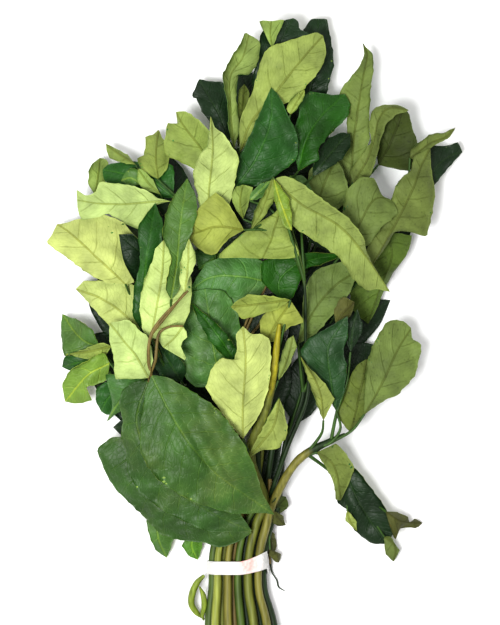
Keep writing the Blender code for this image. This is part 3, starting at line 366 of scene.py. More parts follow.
# %% Shoot upper left
begin_shoot("shoot_upper_left", (-1.5, 1), "olive",
            [(229, 455, 9), (226, 410, 6), (221, 340, 10), (217, 280, 20), (214, 238, 36)])
low_leaf("low_1", (222, 320), (160, 262), 58, (16, 20, 18))
low_leaf("low_3", (223, 380), (180, 325), 52, (12, 16, 14))
low_leaf("low_2", (218, 270), (246, 200), 40, (26, 28, 26))
# This one fills a gap beside the front leaflets with dark green, as painted shade
low_leaf("low_4", (226, 412), (186, 364), 40, (10, 14, 12))
leaf("gap_small", "blue", [(222, 254), (210, 261), (199, 270)],
     [(212, 250), (195, 249)],
     [(214, 264)], (30, 34, 30))
leaf("upper_small_pale", "lime", [(158, 180), (156, 155), (158, 129)],
     [(142, 170), (138, 159), (145, 155), (146, 136), (153, 134)],
     [(168, 168), (168, 148), (162, 138)], (24, 24, 14), stalk=[(190, 215)])
leaf("upper_pale", "lime", [(212, 166), (197, 144), (184, 127), (176, 112)],
     [(200, 172), (182, 163), (165, 154), (168, 123), (178, 128)],
     [(213, 146), (208, 130), (197, 120), (186, 112)],
     (34, 38, 26), edge=(-4, -3), stalk=[(214, 205)])
leaf("tall_pale", "pale", [(214, 238), (209, 200), (213, 155), (211, 118)],
     [(203, 222), (199, 198), (194, 177), (200, 158), (208, 148), (210, 132)],
     [(226, 216), (233, 192), (239, 160), (231, 147), (225, 137), (215, 129)],
     (44, 54, 42), edge=(3, -4))
show_shoot()

# %% Shoot centre
begin_shoot("shoot_centre", (-0.5, 1), "brown",
            [(242, 450, 9), (238, 410, 10), (234, 360, 24), (252, 308, 30)])
low_leaf("low_1", (234, 390), (180, 330), 54, (18, 24, 24))
low_leaf("low_2", (240, 350), (290, 290), 50, (24, 28, 26))
leaf("centre_dark", "blue", [(268, 282), (242, 277), (213, 277), (189, 291)],
     [(263, 262), (248, 256), (225, 257), (206, 264)],
     [(258, 297), (234, 306), (222, 296), (204, 296)], (32, 38, 34))
leaf("centre_fold", "vivid", [(280, 299), (280, 279), (303, 262), (343, 255)],
     [(262, 282), (262, 262), (285, 255), (312, 253)],
     [(292, 298), (300, 280), (304, 269), (322, 264)], (34, 38, 38), edge=(4, 2))
leaf("centre_dark_low", "blue", [(222, 385), (214, 350), (210, 320), (205, 289)],
     [(196, 387), (183, 372), (181, 340), (184, 310), (190, 293)],
     [(235, 366), (241, 335), (237, 312), (225, 292)], (30, 40, 38), edge=(-5, -4))
leaf("centre_narrow", "vivid", [(236, 363), (218, 335), (191, 302)],
     [(224, 356), (210, 340), (199, 320)],
     [(238, 352), (222, 329), (205, 314)], (42, 47, 40), edge=(2, 1))
show_shoot()

# %% [markdown]
# ## The shoots on top
# The last six lie highest and show nearly whole. Here the outlines matter most, so they have more
# points: the long leaflet that crosses the bunch, the one that is twisted like paper and shows
# both faces, and the three large dark ones in front.

# %% Shoot diagonal
# Its stem starts near black, painted shade where it runs through the dark gap in the middle, and
# turns green at the top
begin_shoot("shoot_diagonal", (1.5, 1), "dark",
            [(274, 472, 12), (288, 446, 16), (304, 420, 20), (308, 375, 24), (304, 320, 26),
             (303, 272, 28), (298, 248, 30), (290, 224, 34)], tip=("green", 0.86))
low_leaf("low_1", (300, 212), (352, 258), 32, (36, 38, 34))
low_leaf("low_2", (288, 240), (236, 195), 44, (42, 44, 40))
leaf("middle_small", "lime", [(243, 220), (240, 203), (243, 186)],
     [(235, 208), (232, 197), (236, 189)],
     [(248, 206), (252, 189)], (46, 50, 44), stalk=[(277, 238)])
leaf("middle_thin", "blue", [(250, 202), (259, 193), (270, 182)],
     [(251, 194), (262, 185)],
     [(262, 198), (270, 190)], (50, 52, 50), stalk=[(272, 212)])
leaf("middle_pale", "lime", [(262, 259), (271, 240), (281, 205)],
     [(238, 258), (217, 258), (242, 235), (262, 222), (275, 214)],
     [(285, 259), (299, 257), (292, 238), (287, 225)], (44, 52, 52), stalk=[(284, 250)])
leaf("middle_narrow", "lime", [(251, 231), (264, 207), (273, 178)],
     [(255, 212), (266, 192)],
     [(264, 218), (276, 195)], (50, 54, 50), edge=(3, 3), stalk=[(277, 226)])
leaf("middle_diamond", "amber", [(244, 231), (217, 228), (190, 236)],
     [(235, 216), (228, 205), (216, 195), (200, 209), (193, 222)],
     [(228, 240), (214, 256), (200, 250), (191, 241)],
     (54, 58, 48), edge=(-4, -4), stalk=[(278, 236)])
leaf("diagonal_big", "sage", [(274, 181), (300, 206), (338, 228), (364, 257), (389, 292)],
     [(284, 178), (300, 185), (325, 204), (346, 219), (361, 237), (366, 255), (378, 276)],
     [(278, 196), (287, 210), (292, 227), (316, 243), (338, 258), (352, 279), (365, 290), (377, 289)],
     (58, 62, 40), edge=(-6, -3))
leaf("diagonal_curl", "fresh", [(273, 180), (280, 204), (291, 232)],
     [(275, 206), (284, 228)],
     [(287, 200), (291, 220)], (56, 58, 50), edge=(3, -1))
show_shoot()

# %% Shoot centre left
begin_shoot("shoot_centre_left", (-1, 2), "tan",
            [(222, 470, 14), (200, 435, 14), (176, 395, 20), (164, 360, 30), (154, 338, 40)])
low_leaf("low_1", (180, 410), (128, 360), 48, (20, 22, 18))
leaf("small_dark_low", "teal", [(182, 382), (170, 362), (158, 344)],
     [(163, 378), (152, 360)],
     [(186, 368), (174, 350)], (26, 30, 30))
leaf("dark_strip", "dark", [(141, 328), (147, 268), (156, 204)],
     [(134, 316), (135, 290), (142, 262), (140, 228)],
     [(148, 320), (150, 290), (159, 262), (164, 226)], (38, 44, 38))
leaf("left_tall_pale", "pale", [(152, 338), (158, 306), (163, 276), (165, 241)],
     [(144, 330), (141, 305), (146, 281), (154, 262), (157, 250)],
     [(176, 338), (190, 312), (192, 280), (178, 252)], (46, 54, 52), edge=(-4, -3))
leaf("dark_tall", "mid", [(172, 300), (178, 262), (182, 220), (188, 180)],
     [(167, 288), (173, 258), (164, 238), (168, 214), (175, 198)],
     [(179, 292), (186, 262), (190, 240), (197, 218), (197, 200)], (54, 58, 52), edge=(3, -3))
show_shoot()

# %% Shoot left low
begin_shoot("shoot_left_low", (-2, 2), "light",
            [(210, 470, 14), (176, 440, 14), (144, 405, 16), (118, 372, 22)])
low_leaf("low_1", (160, 430), (112, 428), 34, (14, 14, 8))
leaf("left_fold", "mid", [(99, 347), (80, 338), (61, 314)],
     [(93, 331), (80, 321), (68, 317)],
     [(84, 352), (64, 357), (60, 328)], (24, 20, 10), edge=(4, -3))
leaf("left_narrow_dark", "dark", [(97, 360), (80, 362), (61, 367)],
     [(78, 356), (64, 357)],
     [(80, 369), (70, 371)], (24, 20, 12))
leaf("left_narrow_pale", "lime", [(112, 346), (92, 351), (69, 354)],
     [(100, 343), (84, 350)],
     [(103, 357), (86, 359)], (28, 28, 20))
leaf("left_dark_green", "dark", [(120, 388), (108, 398), (100, 412)],
     [(108, 382), (97, 388), (95, 400)],
     [(117, 403), (108, 416)], (22, 18, 8))
leaf("left_bright", "fresh", [(110, 363), (88, 375), (64, 402)],
     [(104, 352), (88, 361), (72, 369), (62, 384)],
     [(107, 379), (97, 384), (86, 387), (91, 400), (76, 404)], (30, 26, 12), edge=(3, -3))
leaf("left_grey_tip", "blue", [(146, 378), (122, 398), (106, 422)],
     [(124, 376), (106, 374), (111, 396), (112, 408)],
     [(136, 398), (118, 412)], (30, 26, 12))
show_shoot()

# %% Shoot low middle
begin_shoot("shoot_low_middle", (1, 2), "olive",
            [(256, 476, 18), (250, 452, 24), (264, 414, 34), (276, 394, 38), (273, 365, 46),
             (279, 324, 54)], tip=("yellow", 0.8), taper=12.0, stout=1.5)
leaf("centre_yellow", "amber", [(266, 341), (277, 322), (291, 302)],
     [(260, 330), (262, 316), (280, 305)],
     [(278, 341), (287, 327), (303, 322), (297, 311)], (44, 50, 50))
leaf("centre_pale_fold", "amber", [(290, 300), (262, 304), (231, 307)],
     [(272, 297), (250, 295), (239, 300)],
     [(276, 309), (258, 315), (243, 319), (237, 312)], (50, 54, 50))
leaf("small_pale_low", "sage", [(279, 397), (274, 424), (263, 440), (249, 457)],
     [(272, 410), (262, 430), (254, 444)],
     [(284, 412), (287, 432), (277, 448), (262, 449)], (42, 42, 32))
leaf("pale_slip", "sage", [(278, 380), (286, 360), (293, 335)],
     [(279, 364), (286, 341)],
     [(287, 368), (296, 346)], (40, 46, 46), edge=(2, -1))
leaf("centre_big_pale", "pale", [(243, 438), (243, 400), (246, 360), (243, 326)],
     [(228, 420), (207, 387), (214, 366), (222, 357), (234, 361), (238, 346), (236, 335)],
     [(260, 412), (269, 382), (270, 342), (262, 334), (251, 334)], (38, 56, 60), edge=(-5, -4))
show_shoot()

# %% Shoot right branch
begin_shoot("shoot_right_branch", (2, 2), "tan",
            [(281, 482, 18), (295, 465, 24), (304, 455, 28), (325, 447, 26), (345, 434, 26)],
            tip=("dark", 0.85), taper=12.0, stout=1.4)
leaf("speckled_left", "moss", [(350, 432), (359, 396), (366, 359)],
     [(341, 421), (336, 408), (344, 389), (356, 366)],
     [(359, 423), (370, 402), (372, 380), (370, 361)], (26, 32, 32))
leaf("speckled_right", "olive", [(364, 414), (384, 378), (397, 350), (411, 328)],
     [(364, 392), (367, 362), (374, 342), (388, 321), (403, 321)],
     [(372, 408), (386, 399), (396, 395), (415, 374), (421, 345), (412, 339)],
     (26, 34, 24), edge=(-3, -5), stalk=[(352, 430)])
leaf("blue_green_edge", "deep", [(350, 352), (352, 330), (357, 309)],
     [(344, 332)],
     [(362, 330)], (36, 38, 34), stalk=[(340, 405)])
leaf("blue_green", "teal", [(336, 411), (330, 378), (328, 346), (347, 316)],
     [(326, 392), (315, 374), (300, 352), (308, 339), (322, 331)],
     [(343, 392), (346, 365), (342, 352), (347, 335)], (32, 42, 42), stalk=[(338, 436)])
leaf("small_pale_right", "sage", [(323, 420), (318, 388), (300, 356)],
     [(316, 402), (309, 382)],
     [(333, 398), (322, 381), (309, 368)], (36, 44, 42), edge=(3, -2), stalk=[(320, 436)])
leaf("twist_lower", "deep", [(347, 474), (362, 508), (388, 546)],
     [(355, 468), (370, 487), (386, 509), (394, 534)],
     [(344, 494), (337, 503), (347, 510), (350, 524), (358, 534), (372, 545)],
     (18, 14, 6), edge=(5, -4), stalk=[(336, 456)])
leaf("twist_tip", "olive", [(385, 538), (396, 548), (395, 564)],
     [(391, 538), (400, 553)],
     [(386, 550), (389, 558)], (8, 7, 3), stalk=[(334, 460, 12), (360, 500, 4)])
leaf("twist_rim", "sage", [(348, 512), (351, 523), (358, 533)],
     [(346, 521)],
     [(356, 521)], (13, 12, 9), edge=(1, 1), stalk=[(340, 480, 12)])
leaf("twist_upper", "olive", [(317, 452), (334, 466), (341, 501)],
     [(326, 448), (337, 444), (347, 456), (354, 467), (349, 484)],
     [(320, 458), (328, 470), (335, 486), (336, 500)], (28, 26, 14), edge=(-4, -3))
leaf("brown_curl", "brown", [(386, 512), (402, 522), (424, 525)],
     [(396, 513), (408, 518), (411, 524), (417, 521)],
     [(390, 526), (396, 541), (399, 530), (411, 529), (418, 530)],
     (8, 9, 3), stalk=[(334, 460, 12), (362, 492, 4)])
show_shoot()

# %% Shoot front
begin_shoot("shoot_front", (0, 2), "green",
            [(250, 478, 18), (212, 456, 26), (166, 420, 34), (153, 378, 54), (152, 338, 64),
             (168, 308, 64), (189, 291, 62)], tip=("brown", 0.5))
low_leaf("low_1", (190, 460), (140, 500), 44, (20, 18, 6))
leaf("front_olive_tip", "mid", [(156, 518), (158, 540), (166, 560)],
     [(146, 522), (150, 540), (156, 553)],
     [(173, 530), (171, 546)], (16, 14, 4), stalk=[(180, 500)])
leaf("front_bright", "bright", [(197, 533), (191, 546), (197, 562)],
     [(186, 540), (182, 547), (188, 557)],
     [(202, 540), (200, 554)], (14, 13, 5), stalk=[(200, 505)])
# The two lower front leaflets get the look shadow, a darker copy of front_big's green: painted shade
# under front_big
leaf("front_lowest", "shadow", [(127, 437), (138, 480), (175, 515), (252, 533)],
     [(113, 437), (97, 449), (101, 461), (106, 474), (116, 490), (138, 511), (160, 534), (182, 541),
      (205, 543), (218, 548), (236, 543)],
     [(134, 440), (162, 466), (202, 497), (236, 519), (246, 528)],
     (28, 30, 22), edge=(-10, -2), stalk=[(148, 425)])
leaf("front_middle", "shadow", [(149, 380), (138, 425), (166, 480), (212, 512), (252, 531)],
     [(136, 381), (124, 389), (120, 402), (124, 420), (122, 434), (127, 452), (128, 470),
      (140, 492), (166, 511), (208, 531)],
     [(158, 405), (178, 442), (205, 477), (236, 508)], (48, 40, 26), edge=(-8, -2))
leaf("front_pale", "pale", [(150, 377), (138, 356), (125, 340), (111, 323)],
     [(131, 378), (117, 377), (116, 358), (111, 340)],
     [(154, 358), (150, 338), (138, 328), (130, 320)], (58, 56, 44), edge=(-4, -2))
leaf("bright_strip", "pale", [(186, 293), (189, 266), (190, 240)],
     [(181, 284), (182, 262), (187, 248)],
     [(190, 278), (197, 262), (195, 252)], (62, 62, 58), edge=(1, 1))
leaf("torn_pale", "pale", [(184, 326), (175, 338), (164, 347)],
     [(189, 335), (181, 344), (188, 360), (176, 354)],
     [(172, 325), (159, 337)], (58, 52, 42), edge=(-2, -3), stalk=[(160, 334), (174, 326)])
leaf("front_big", "front", [(153, 374), (172, 412), (195, 448), (222, 476), (274, 514)],
     [(170, 377), (194, 391), (218, 408), (243, 441), (255, 468), (262, 492)],
     [(147, 392), (142, 430), (143, 452), (157, 475), (180, 492), (198, 501), (232, 512), (262, 512)],
     (60, 56, 30), edge=(-5, -4))
show_shoot()

# %% Count the leaflets
print("shoots:", len(shoots), "leaflets:", sum(len(shoot["leaves"]) for shoot in shoots))

# %% [markdown]
# ## Smooth lines
# Stems bend smoothly. A Catmull-Rom curve passes through every point that is given, so a few listed
# points are enough, and it is then read at even distances along its length. A leaf's torn edge is
# more angular, so the curve can also be mixed with the straight lines between the points.

# %% Smooth curves
def on_plan(points):
    """Plan points, with or without a height in millimetres, as metres from the origin."""
    placed = []
    for x, y, *z in points:
        height = z[0] * MM if z else 0.0
        placed.append(((x - TIE_PLAN[0]) * PLAN_STEP, (TIE_PLAN[1] - y) * PLAN_STEP, height))
    return np.array(placed)


def distances(points):
    """How far each point lies along the line, from its first point."""
    return np.concatenate([[0], np.cumsum(np.linalg.norm(np.diff(points, axis=0), axis=1))])


def smooth_curve(points, count, crisp=0.0):
    """Points at even distances along a curve through the given ones, smooth or more angular."""
    p = np.vstack([2 * points[0] - points[1], points, 2 * points[-1] - points[-2]])
    t = np.linspace(0, 1, 12, endpoint=False)[:, None]
    pieces = []
    for a, b, c, d in zip(p, p[1:], p[2:], p[3:]):
        bend = (2 * a - 5 * b + 4 * c - d) * t**2 + (3 * b - a - 3 * c + d) * t**3
        pieces.append(b + (1 - crisp) * ((c - a) * t + bend) / 2 + crisp * (c - b) * t)
    curve = np.vstack([*pieces, points[-1:]])
    run = distances(curve)
    at = np.linspace(0, run[-1], count)
    return np.column_stack([np.interp(at, run, axis) for axis in curve.T])


def length_of(points):
    return float(np.linalg.norm(np.diff(points, axis=0), axis=1).sum())


print("the tie lies at the origin, one step is", PLAN_STEP / MM, "mm")


# %% [markdown]
# ## A map of heights
# Leaves that lie on each other must not cut through each other. A cloth simulation could settle
# them, but it would be slow and would move them off their places. Instead a map of small cells
# remembers how high the bunch reaches, and each new leaflet is lifted until it clears the map.

# %% The height map
MAP_CELL = 0.5 * MM
MAP_LOW = np.array([-150 * MM, -120 * MM])
MAP_CELLS = (640, 1000)


class HeightMap:
    """How high the bunch reaches so far, over a grid of small cells on the surface."""

    def __init__(self):
        self.top = np.zeros(MAP_CELLS)
        self.around = self.top.copy()

    def cells(self, points):
        cell = np.floor((points[..., :2] - MAP_LOW) / MAP_CELL).astype(int)
        return tuple(np.clip(cell[..., i], 0, MAP_CELLS[i] - 1) for i in (0, 1))

    def height(self, points):
        return self.around[self.cells(points)]

    def add(self, points):
        np.maximum.at(self.top, self.cells(points), points[..., 2])

    def settle(self):
        """Lets each cell stand as high as the cells beside it, for room to the side."""
        wide = np.maximum(self.top, np.maximum(np.roll(self.top, 1, 0), np.roll(self.top, -1, 0)))
        self.around = np.maximum(wide, np.maximum(np.roll(wide, 1, 1), np.roll(wide, -1, 1)))


print("the map covers", *(round(count * MAP_CELL / MM) for count in MAP_CELLS), "mm")

# %% [markdown]
# ## The coarse layer
# First the leaflets are laid down as stiff, coarse blades of a few triangles, with the rule that the
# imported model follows. This gives every leaflet its height in the heap.

# %% Raise corners until the triangles clear the map
# How thick a coarse blade is, and the room under it over other leaves and over the surface
BLADE = 0.7 * MM
BLADE_CLEAR = 1.2 * MM
SURFACE_GAP = 0.1 * MM
# The waves along its edges, and by what share of its half width the edge goes in and out
WAVE_HEIGHT = 1.5 * MM
WAVE_LENGTH = 26 * MM
TOOTH_DEPTH = 0.05
# Lifting stops after so many rounds, or once no point is lower than it should be by more than this
LIFT_ROUNDS = 60
CLOSE_ENOUGH = 0.01 * MM


def share_points(steps):
    """The corner shares of evenly spread points in a triangle."""
    return np.array([(i / steps, j / steps, 1 - (i + j) / steps)
                     for i in range(steps + 1) for j in range(steps + 1 - i)])


LIFT_SHARES = share_points(10)
MAP_SHARES = share_points(24)


def raise_over(z, corners, shares, ground, tie_ends):
    """Raises heights until each point between them clears the ground under it."""
    push_shares = shares / (shares**2).sum(axis=-1, keepdims=True)
    for _ in range(LIFT_ROUNDS):
        short = ground - (z[corners][:, None, :] * shares).sum(axis=-1)
        if short.max() < CLOSE_ENOUGH:
            break
        push = np.maximum(short, 0)[..., None] * push_shares
        rise = np.zeros_like(z)
        np.maximum.at(rise, corners, push.max(axis=1))
        z = tie_ends(z + rise)
    return z


def grid_faces(rows, columns):
    """The corners of the triangles of a grid whose first and last rows are single points."""
    faces = []
    for i in range(rows - 1):
        for j in range(columns - 1):
            a, b = i * columns + j, i * columns + j + 1
            c, d = b + columns, a + columns
            if i > 0:
                faces.append((a, b, d) if (i + j) % 2 else (a, b, c))
            if i < rows - 2:
                faces.append((b, c, d) if (i + j) % 2 else (a, c, d))
            elif i > 0 and (i + j) % 2 == 0:
                faces[-1] = (a, b, c)
    return np.array(faces)


# %% The coarse blade of one leaflet
# A longer blade has more rows of points, and one wider than WIDE_BLADE has five columns, not three
ROWS_BY_LENGTH = ((90 * MM, 8), (50 * MM, 6), (28 * MM, 5), (0, 4))
HIDDEN_ROWS = 5
WIDE_BLADE = 22 * MM


def rails_of(spec):
    """The rib and the two edges of a leaflet, each from its base to its tip."""
    rib = on_plan(spec["rib"])
    return [rib] + [np.vstack([rib[:1], on_plan(side), rib[-1:]]) for side in spec["sides"]]


def rib_heights(spec, t):
    base, mid, tip = (value * MM for value in spec["z"])
    return base * (1 - t) * (1 - 2 * t) + mid * 4 * t * (1 - t) + tip * t * (2 * t - 1)


def coarse_grid(spec):
    """The corner points of a leaflet, row by row from its base to its tip."""
    rib, left, right = rails_of(spec)
    long = length_of(rib)
    wide = max(np.linalg.norm(left[len(left) // 2] - right[len(right) // 2]), 1 * MM)
    rows = next(count for least, count in ROWS_BY_LENGTH if long > least)
    if spec["hidden"]:
        rows = HIDDEN_ROWS
    half = 2 if wide > WIDE_BLADE and not spec["hidden"] else 1
    middle, left, right = (smooth_curve(line, rows) for line in (rib, left, right))
    t = np.linspace(0, 1, rows)
    middle[:, 2] = rib_heights(spec, t)
    grid = np.zeros((rows, 2 * half + 1, 3))
    body = np.sin(math.pi * t) ** 0.5
    for j in range(2 * half + 1):
        share = abs(j - half) / half
        side, edge = (left, spec["edge"][0]) if j < half else (right, spec["edge"][1])
        tooth = 1 + TOOTH_DEPTH * np.cos(math.pi * np.arange(rows)) * share**4
        grid[:, j] = middle + (side - middle) * (share * tooth)[:, None]
        wave = WAVE_HEIGHT * np.sin(2 * math.pi * t * long / WAVE_LENGTH + 2.0 * np.sign(j - half))
        grid[:, j, 2] = middle[:, 2] + (edge * MM * share**1.5 + wave * share**2) * body
    grid[0], grid[-1] = middle[0], middle[-1]
    return grid


def drape(grid, heights):
    """Lifts a coarse blade until it lies clear above all that the map holds."""
    _, columns, _ = grid.shape
    points = grid.reshape(-1, 3)
    corners = grid_faces(len(grid), columns)
    between = np.einsum("ks,fsc->fkc", LIFT_SHARES, points[corners])
    under = heights.height(between)
    ground = np.where(under > 0, under + BLADE_CLEAR, BLADE / 2 + SURFACE_GAP)

    def tie_ends(z):
        z[:columns] = z[:columns].max()
        z[-columns:] = z[-columns:].max()
        return z

    lifted = raise_over(points[:, 2].copy(), corners, LIFT_SHARES[None], ground, tie_ends)
    lift = (lifted - points[:, 2]).reshape(-1, columns)
    for _ in range(2):
        spread = lift.copy()
        spread[1:-1] = (lift[:-2] + lift[1:-1] + lift[2:]) / 3
        spread[:, 1:-1] = (spread[:, :-2] + spread[:, 1:-1] + spread[:, 2:]) / 3
        lift = np.maximum(lift, spread)
    lift[0], lift[-1] = lift[0].max(), lift[-1].max()
    grid[..., 2] += lift
    spots = np.einsum("ks,fsc->fkc", MAP_SHARES, grid.reshape(-1, 3)[corners])
    spots[..., 2] += BLADE / 2
    heights.add(spots)
    return grid


# %% [markdown]
# ## Stems in the tie
# At the tie the stems lie in three rows, packed as round rods pack. From there each follows its own
# route into the leaves. The tube is lifted over what is below it, as the blades are.

# %% The coarse stems
STEM_RADIUS = 3.1 * MM
STEM_TOP_RADIUS = 2.0 * MM
STALK_RADIUS = 1.3 * MM
STALK_TOP_RADIUS = 0.7 * MM
STEM_CLEAR = 0.4 * MM
STEM_RING_EVERY = 38 * MM
LEAST_FREE = 0.35
STEM_STEP = 2 * STEM_RADIUS + 0.5 * MM
ROW_STEP = STEM_STEP * 0.88
# Along the stems, from the cut ends up: y on the plan, the bundle's middle, and how far it spreads
TIE_STATIONS = ((684, 246, 1.45), (625, 241, 1.25), (590, 238, 1.0), (555, 239, 1.0),
                (525, 246, 1.0), (500, 254, 1.0))
CUT_STAGGER = 9
TIE_WIDTH = 8.5 * MM
TIE_THICKNESS = 0.8 * MM
TIE_CLEAR = 0.35 * MM
LOWEST_STEM = TIE_THICKNESS + TIE_CLEAR + STEM_RADIUS


def sideways(run):
    """Level unit directions that point to the right of the given ones."""
    aside = np.column_stack([run[:, 1], -run[:, 0]])
    return aside / np.maximum(np.linalg.norm(aside, axis=1, keepdims=True), 1e-9)


def lay_tube(path, radii, heights, held):
    """Lifts a tube's middle line, but for what is held, clear above all that the map holds."""
    corners = np.array([(i, i + 1) for i in range(len(path) - 1)])
    aside = sideways(np.diff(path, axis=0))
    ground, shares = [], []
    for share in np.linspace(0, 1, 12):
        radius = radii[:-1] * (1 - share) + radii[1:] * share
        for across in np.linspace(-1, 1, 9):
            spot = path[:-1, :2] * (1 - share) + path[1:, :2] * share
            spot = spot + aside * (radius * across)[:, None]
            drop = radius * math.sqrt(max(1 - across**2, 0))
            free = np.where(held[:-1], 0, 1 - share) + np.where(held[1:], 0, share)
            need = heights.height(spot) + STEM_CLEAR + drop
            ground.append(np.where(free < LEAST_FREE, 0, need))
            shares.append((1 - share, share))

    def keep(z):
        return np.where(held, path[:, 2], z)

    lifted = path.copy()
    lifted[:, 2] = raise_over(path[:, 2].copy(), corners, np.array(shares)[None],
                              np.array(ground).T, keep)
    return lifted


def map_tube(path, radii, heights):
    """Adds a tube's upper half to the map."""
    aside = sideways(np.diff(path, axis=0))
    for share in np.linspace(0, 1, 30):
        radius = radii[:-1] * (1 - share) + radii[1:] * share
        spot = path[:-1] * (1 - share) + path[1:] * share
        for across in np.linspace(-1, 1, 11):
            side = spot.copy()
            side[:, :2] += aside * (radius * across)[:, None]
            side[:, 2] += radius * math.sqrt(max(1 - across**2, 0))
            heights.add(side)


def stem_path(shoot):
    """The stem from its cut end through its place in the tie, and on along its route."""
    across, row = shoot["slot"]
    height = (LOWEST_STEM + row * ROW_STEP) / MM
    stations = [(middle + across * spread * STEM_STEP / PLAN_STEP, plan_y, height)
                for plan_y, middle, spread in TIE_STATIONS]
    trim = CUT_STAGGER * math.cos(5 * across + row)
    stations[0] = (stations[0][0], stations[0][1] + trim, height)
    bundled = on_plan(stations)
    onward = np.vstack([bundled[-1:], on_plan(shoot["route"])])
    onward = smooth_curve(onward, int(length_of(onward) / STEM_RING_EVERY) + 2)
    path = np.vstack([bundled, onward[1:]])
    return path, np.arange(len(path)) < len(bundled)


def nearest_on(path, point):
    return int(np.argmin(np.linalg.norm(path[:, :2] - point[:2], axis=1)))


# %% Lay every shoot down once, coarsely
coarse_map = HeightMap()
for shoot in shoots:
    path, held = stem_path(shoot)
    radii = np.linspace(STEM_RADIUS, STEM_TOP_RADIUS, len(path))
    radii[: len(path) // 3] = STEM_RADIUS
    path = lay_tube(path, radii, coarse_map, held)
    shoot.update(path=path, radii=radii, held=np.count_nonzero(held))
    mine = HeightMap()
    mine.top = coarse_map.top.copy()
    mine.settle()
    stalks = []
    for spec in shoot["leaves"]:
        spec["grid"] = drape(coarse_grid(spec), mine)
        mine.settle()
        base = spec["grid"][0, 0]
        via = on_plan(spec["stalk"]) if spec["stalk"] else np.zeros((0, 3))
        joint = path[max(nearest_on(path, via[0] if len(via) else base) - 1, shoot["held"])]
        if len(via):
            level = np.linspace(joint[2], base[2], len(via) + 2)[1:-1]
            via[:, 2] = np.where(via[:, 2] > 0, via[:, 2], level)
        line = smooth_curve(np.vstack([joint, via, base]), 3 + 2 * len(via))
        sizes = np.linspace(STALK_RADIUS, STALK_TOP_RADIUS, len(line))
        ends = np.isin(np.arange(len(line)), (0, len(line) - 1))
        spec["line"] = lay_tube(line, sizes, coarse_map, ends)
        sunk = spec["grid"][1:2, spec["grid"].shape[1] // 2]
        stalks.append((np.vstack([spec["line"], sunk]), np.append(sizes, STALK_TOP_RADIUS)))
    coarse_map.top = mine.top
    map_tube(path, radii, coarse_map)
    for line, sizes in stalks:
        map_tube(line, sizes, coarse_map)
    coarse_map.settle()
print("coarse heap is", round(coarse_map.top.max() / MM, 1), "mm high")

# %% [markdown]
# ## The fine leaflet
# A real leaflet is half a millimetre thick. Its side veins leave the midrib about every 14 mm and
# curve towards the tip, the blade quilts a little between them, and the edge has small, wide-set
# teeth. Each coarse blade is read again at many more rows and columns, and those forms are added as
# real relief, so that the light finds them from any side.

# %% Relief of one leaflet
# How far apart the grid's points lie, on leaflets that show and on hidden ones
FINE_CELL = 1.7 * MM
HIDDEN_CELL = 3.2 * MM
LEAST_ROWS = 10
HALF_COLUMNS = (3, 26)
# How thick a blade is, and the room under it
SKIN = 0.5 * MM
SKIN_CLEAR = 0.25 * MM
# Side veins: how far apart and how deep they are, and half their width, then half the midrib's
VEIN_EVERY = 14 * MM
VEIN_DEPTH = 0.35 * MM
VEIN_HALF = 1.9 * MM
RIB_HALF = 1.6 * MM
# A side vein runs towards the tip by this share of its length, and then bends on by so much a metre
VEIN_LEAN = 0.62
VEIN_BEND = 9.0
# Teeth: how far apart and how long. Then how high ripples and edge waves are, and how angular an
# edge is, from 0 for smooth to 1 for straight lines between its points
TOOTH_EVERY = 8.5 * MM
TOOTH_LONG = 0.9 * MM
RIPPLE = 1.4 * MM
EDGE_WAVE = 1.2 * MM
CRISP = 0.6
# Columns crowd a little towards the rib, and heights are read across at so many points
CROWD = 1.3
READ_ACROSS = 121
# A lift is spread over so many points on each side
SPREAD = 3
dice = np.random.default_rng(517)


def widen(values, count):
    """Reads rows of heights at more rows, along smooth curves through them."""
    at = np.linspace(0, len(values) - 1, count)
    i = np.minimum(at.astype(int), len(values) - 2)
    t = (at - i)[:, None]
    p = np.vstack([2 * values[:1] - values[1:2], values, 2 * values[-1:] - values[-2:-1]])
    a, b, c, d = p[i], p[i + 1], p[i + 2], p[i + 3]
    bend = (2 * a - 5 * b + 4 * c - d) * t**2 + (3 * b - a - 3 * c + d) * t**3
    return b + ((c - a) * t + bend) / 2


def ripples(x, y, waves=6, longest=34 * MM, shortest=11 * MM):
    """Soft uneven waves, about one unit high, from a few sines with drawn directions."""
    total = np.zeros_like(x)
    for _ in range(waves):
        angle, phase = dice.uniform(0, 2 * math.pi, 2)
        length = dice.uniform(shortest, longest)
        total += np.sin((x * math.cos(angle) + y * math.sin(angle)) * 2 * math.pi / length + phase)
    return total / math.sqrt(waves)


def with_teeth(line, outward):
    """Pushes an edge out at wide-set teeth that point to the tip."""
    run = distances(line)
    gaps = TOOTH_EVERY * dice.uniform(0.6, 1.4, 60)
    starts = np.concatenate([[0], np.cumsum(gaps)]) - dice.uniform(0, TOOTH_EVERY)
    which = np.clip(np.searchsorted(starts, run, side="right") - 1, 0, len(gaps) - 1)
    saw = np.clip((run - starts[which]) / gaps[which], 0, 1) ** 3
    body = np.maximum(np.sin(math.pi * run / run[-1]), 0) ** 0.5
    away = line - outward
    away[:, 2] = 0
    away /= np.maximum(np.linalg.norm(away, axis=1, keepdims=True), 1e-9)
    return line + away * (TOOTH_LONG * saw * body)[:, None]


def spread_lift(lift):
    """A lift that is nowhere less than the given one, and smooth."""
    for axis in (0, 1):
        pad = [(SPREAD, SPREAD) if axis == i else (0, 0) for i in (0, 1)]
        for read in (np.max, np.mean):
            wide = np.pad(lift, pad, mode="edge")
            windows = np.lib.stride_tricks.sliding_window_view(wide, 2 * SPREAD + 1, axis)
            lift = read(windows, axis=-1)
    return lift


print("fine points every", FINE_CELL / MM, "mm, on hidden leaflets every", HIDDEN_CELL / MM, "mm")

# %% [markdown]
# ## From the coarse blade to the fine one
# The fine grid keeps the outline and gets teeth. It takes its heights from the coarse blade, adds
# the veins, ripples and creases, and is then lifted off what lies below it. The lift is spread over
# the points beside it, so that a high spot below makes a soft hump and no spike.

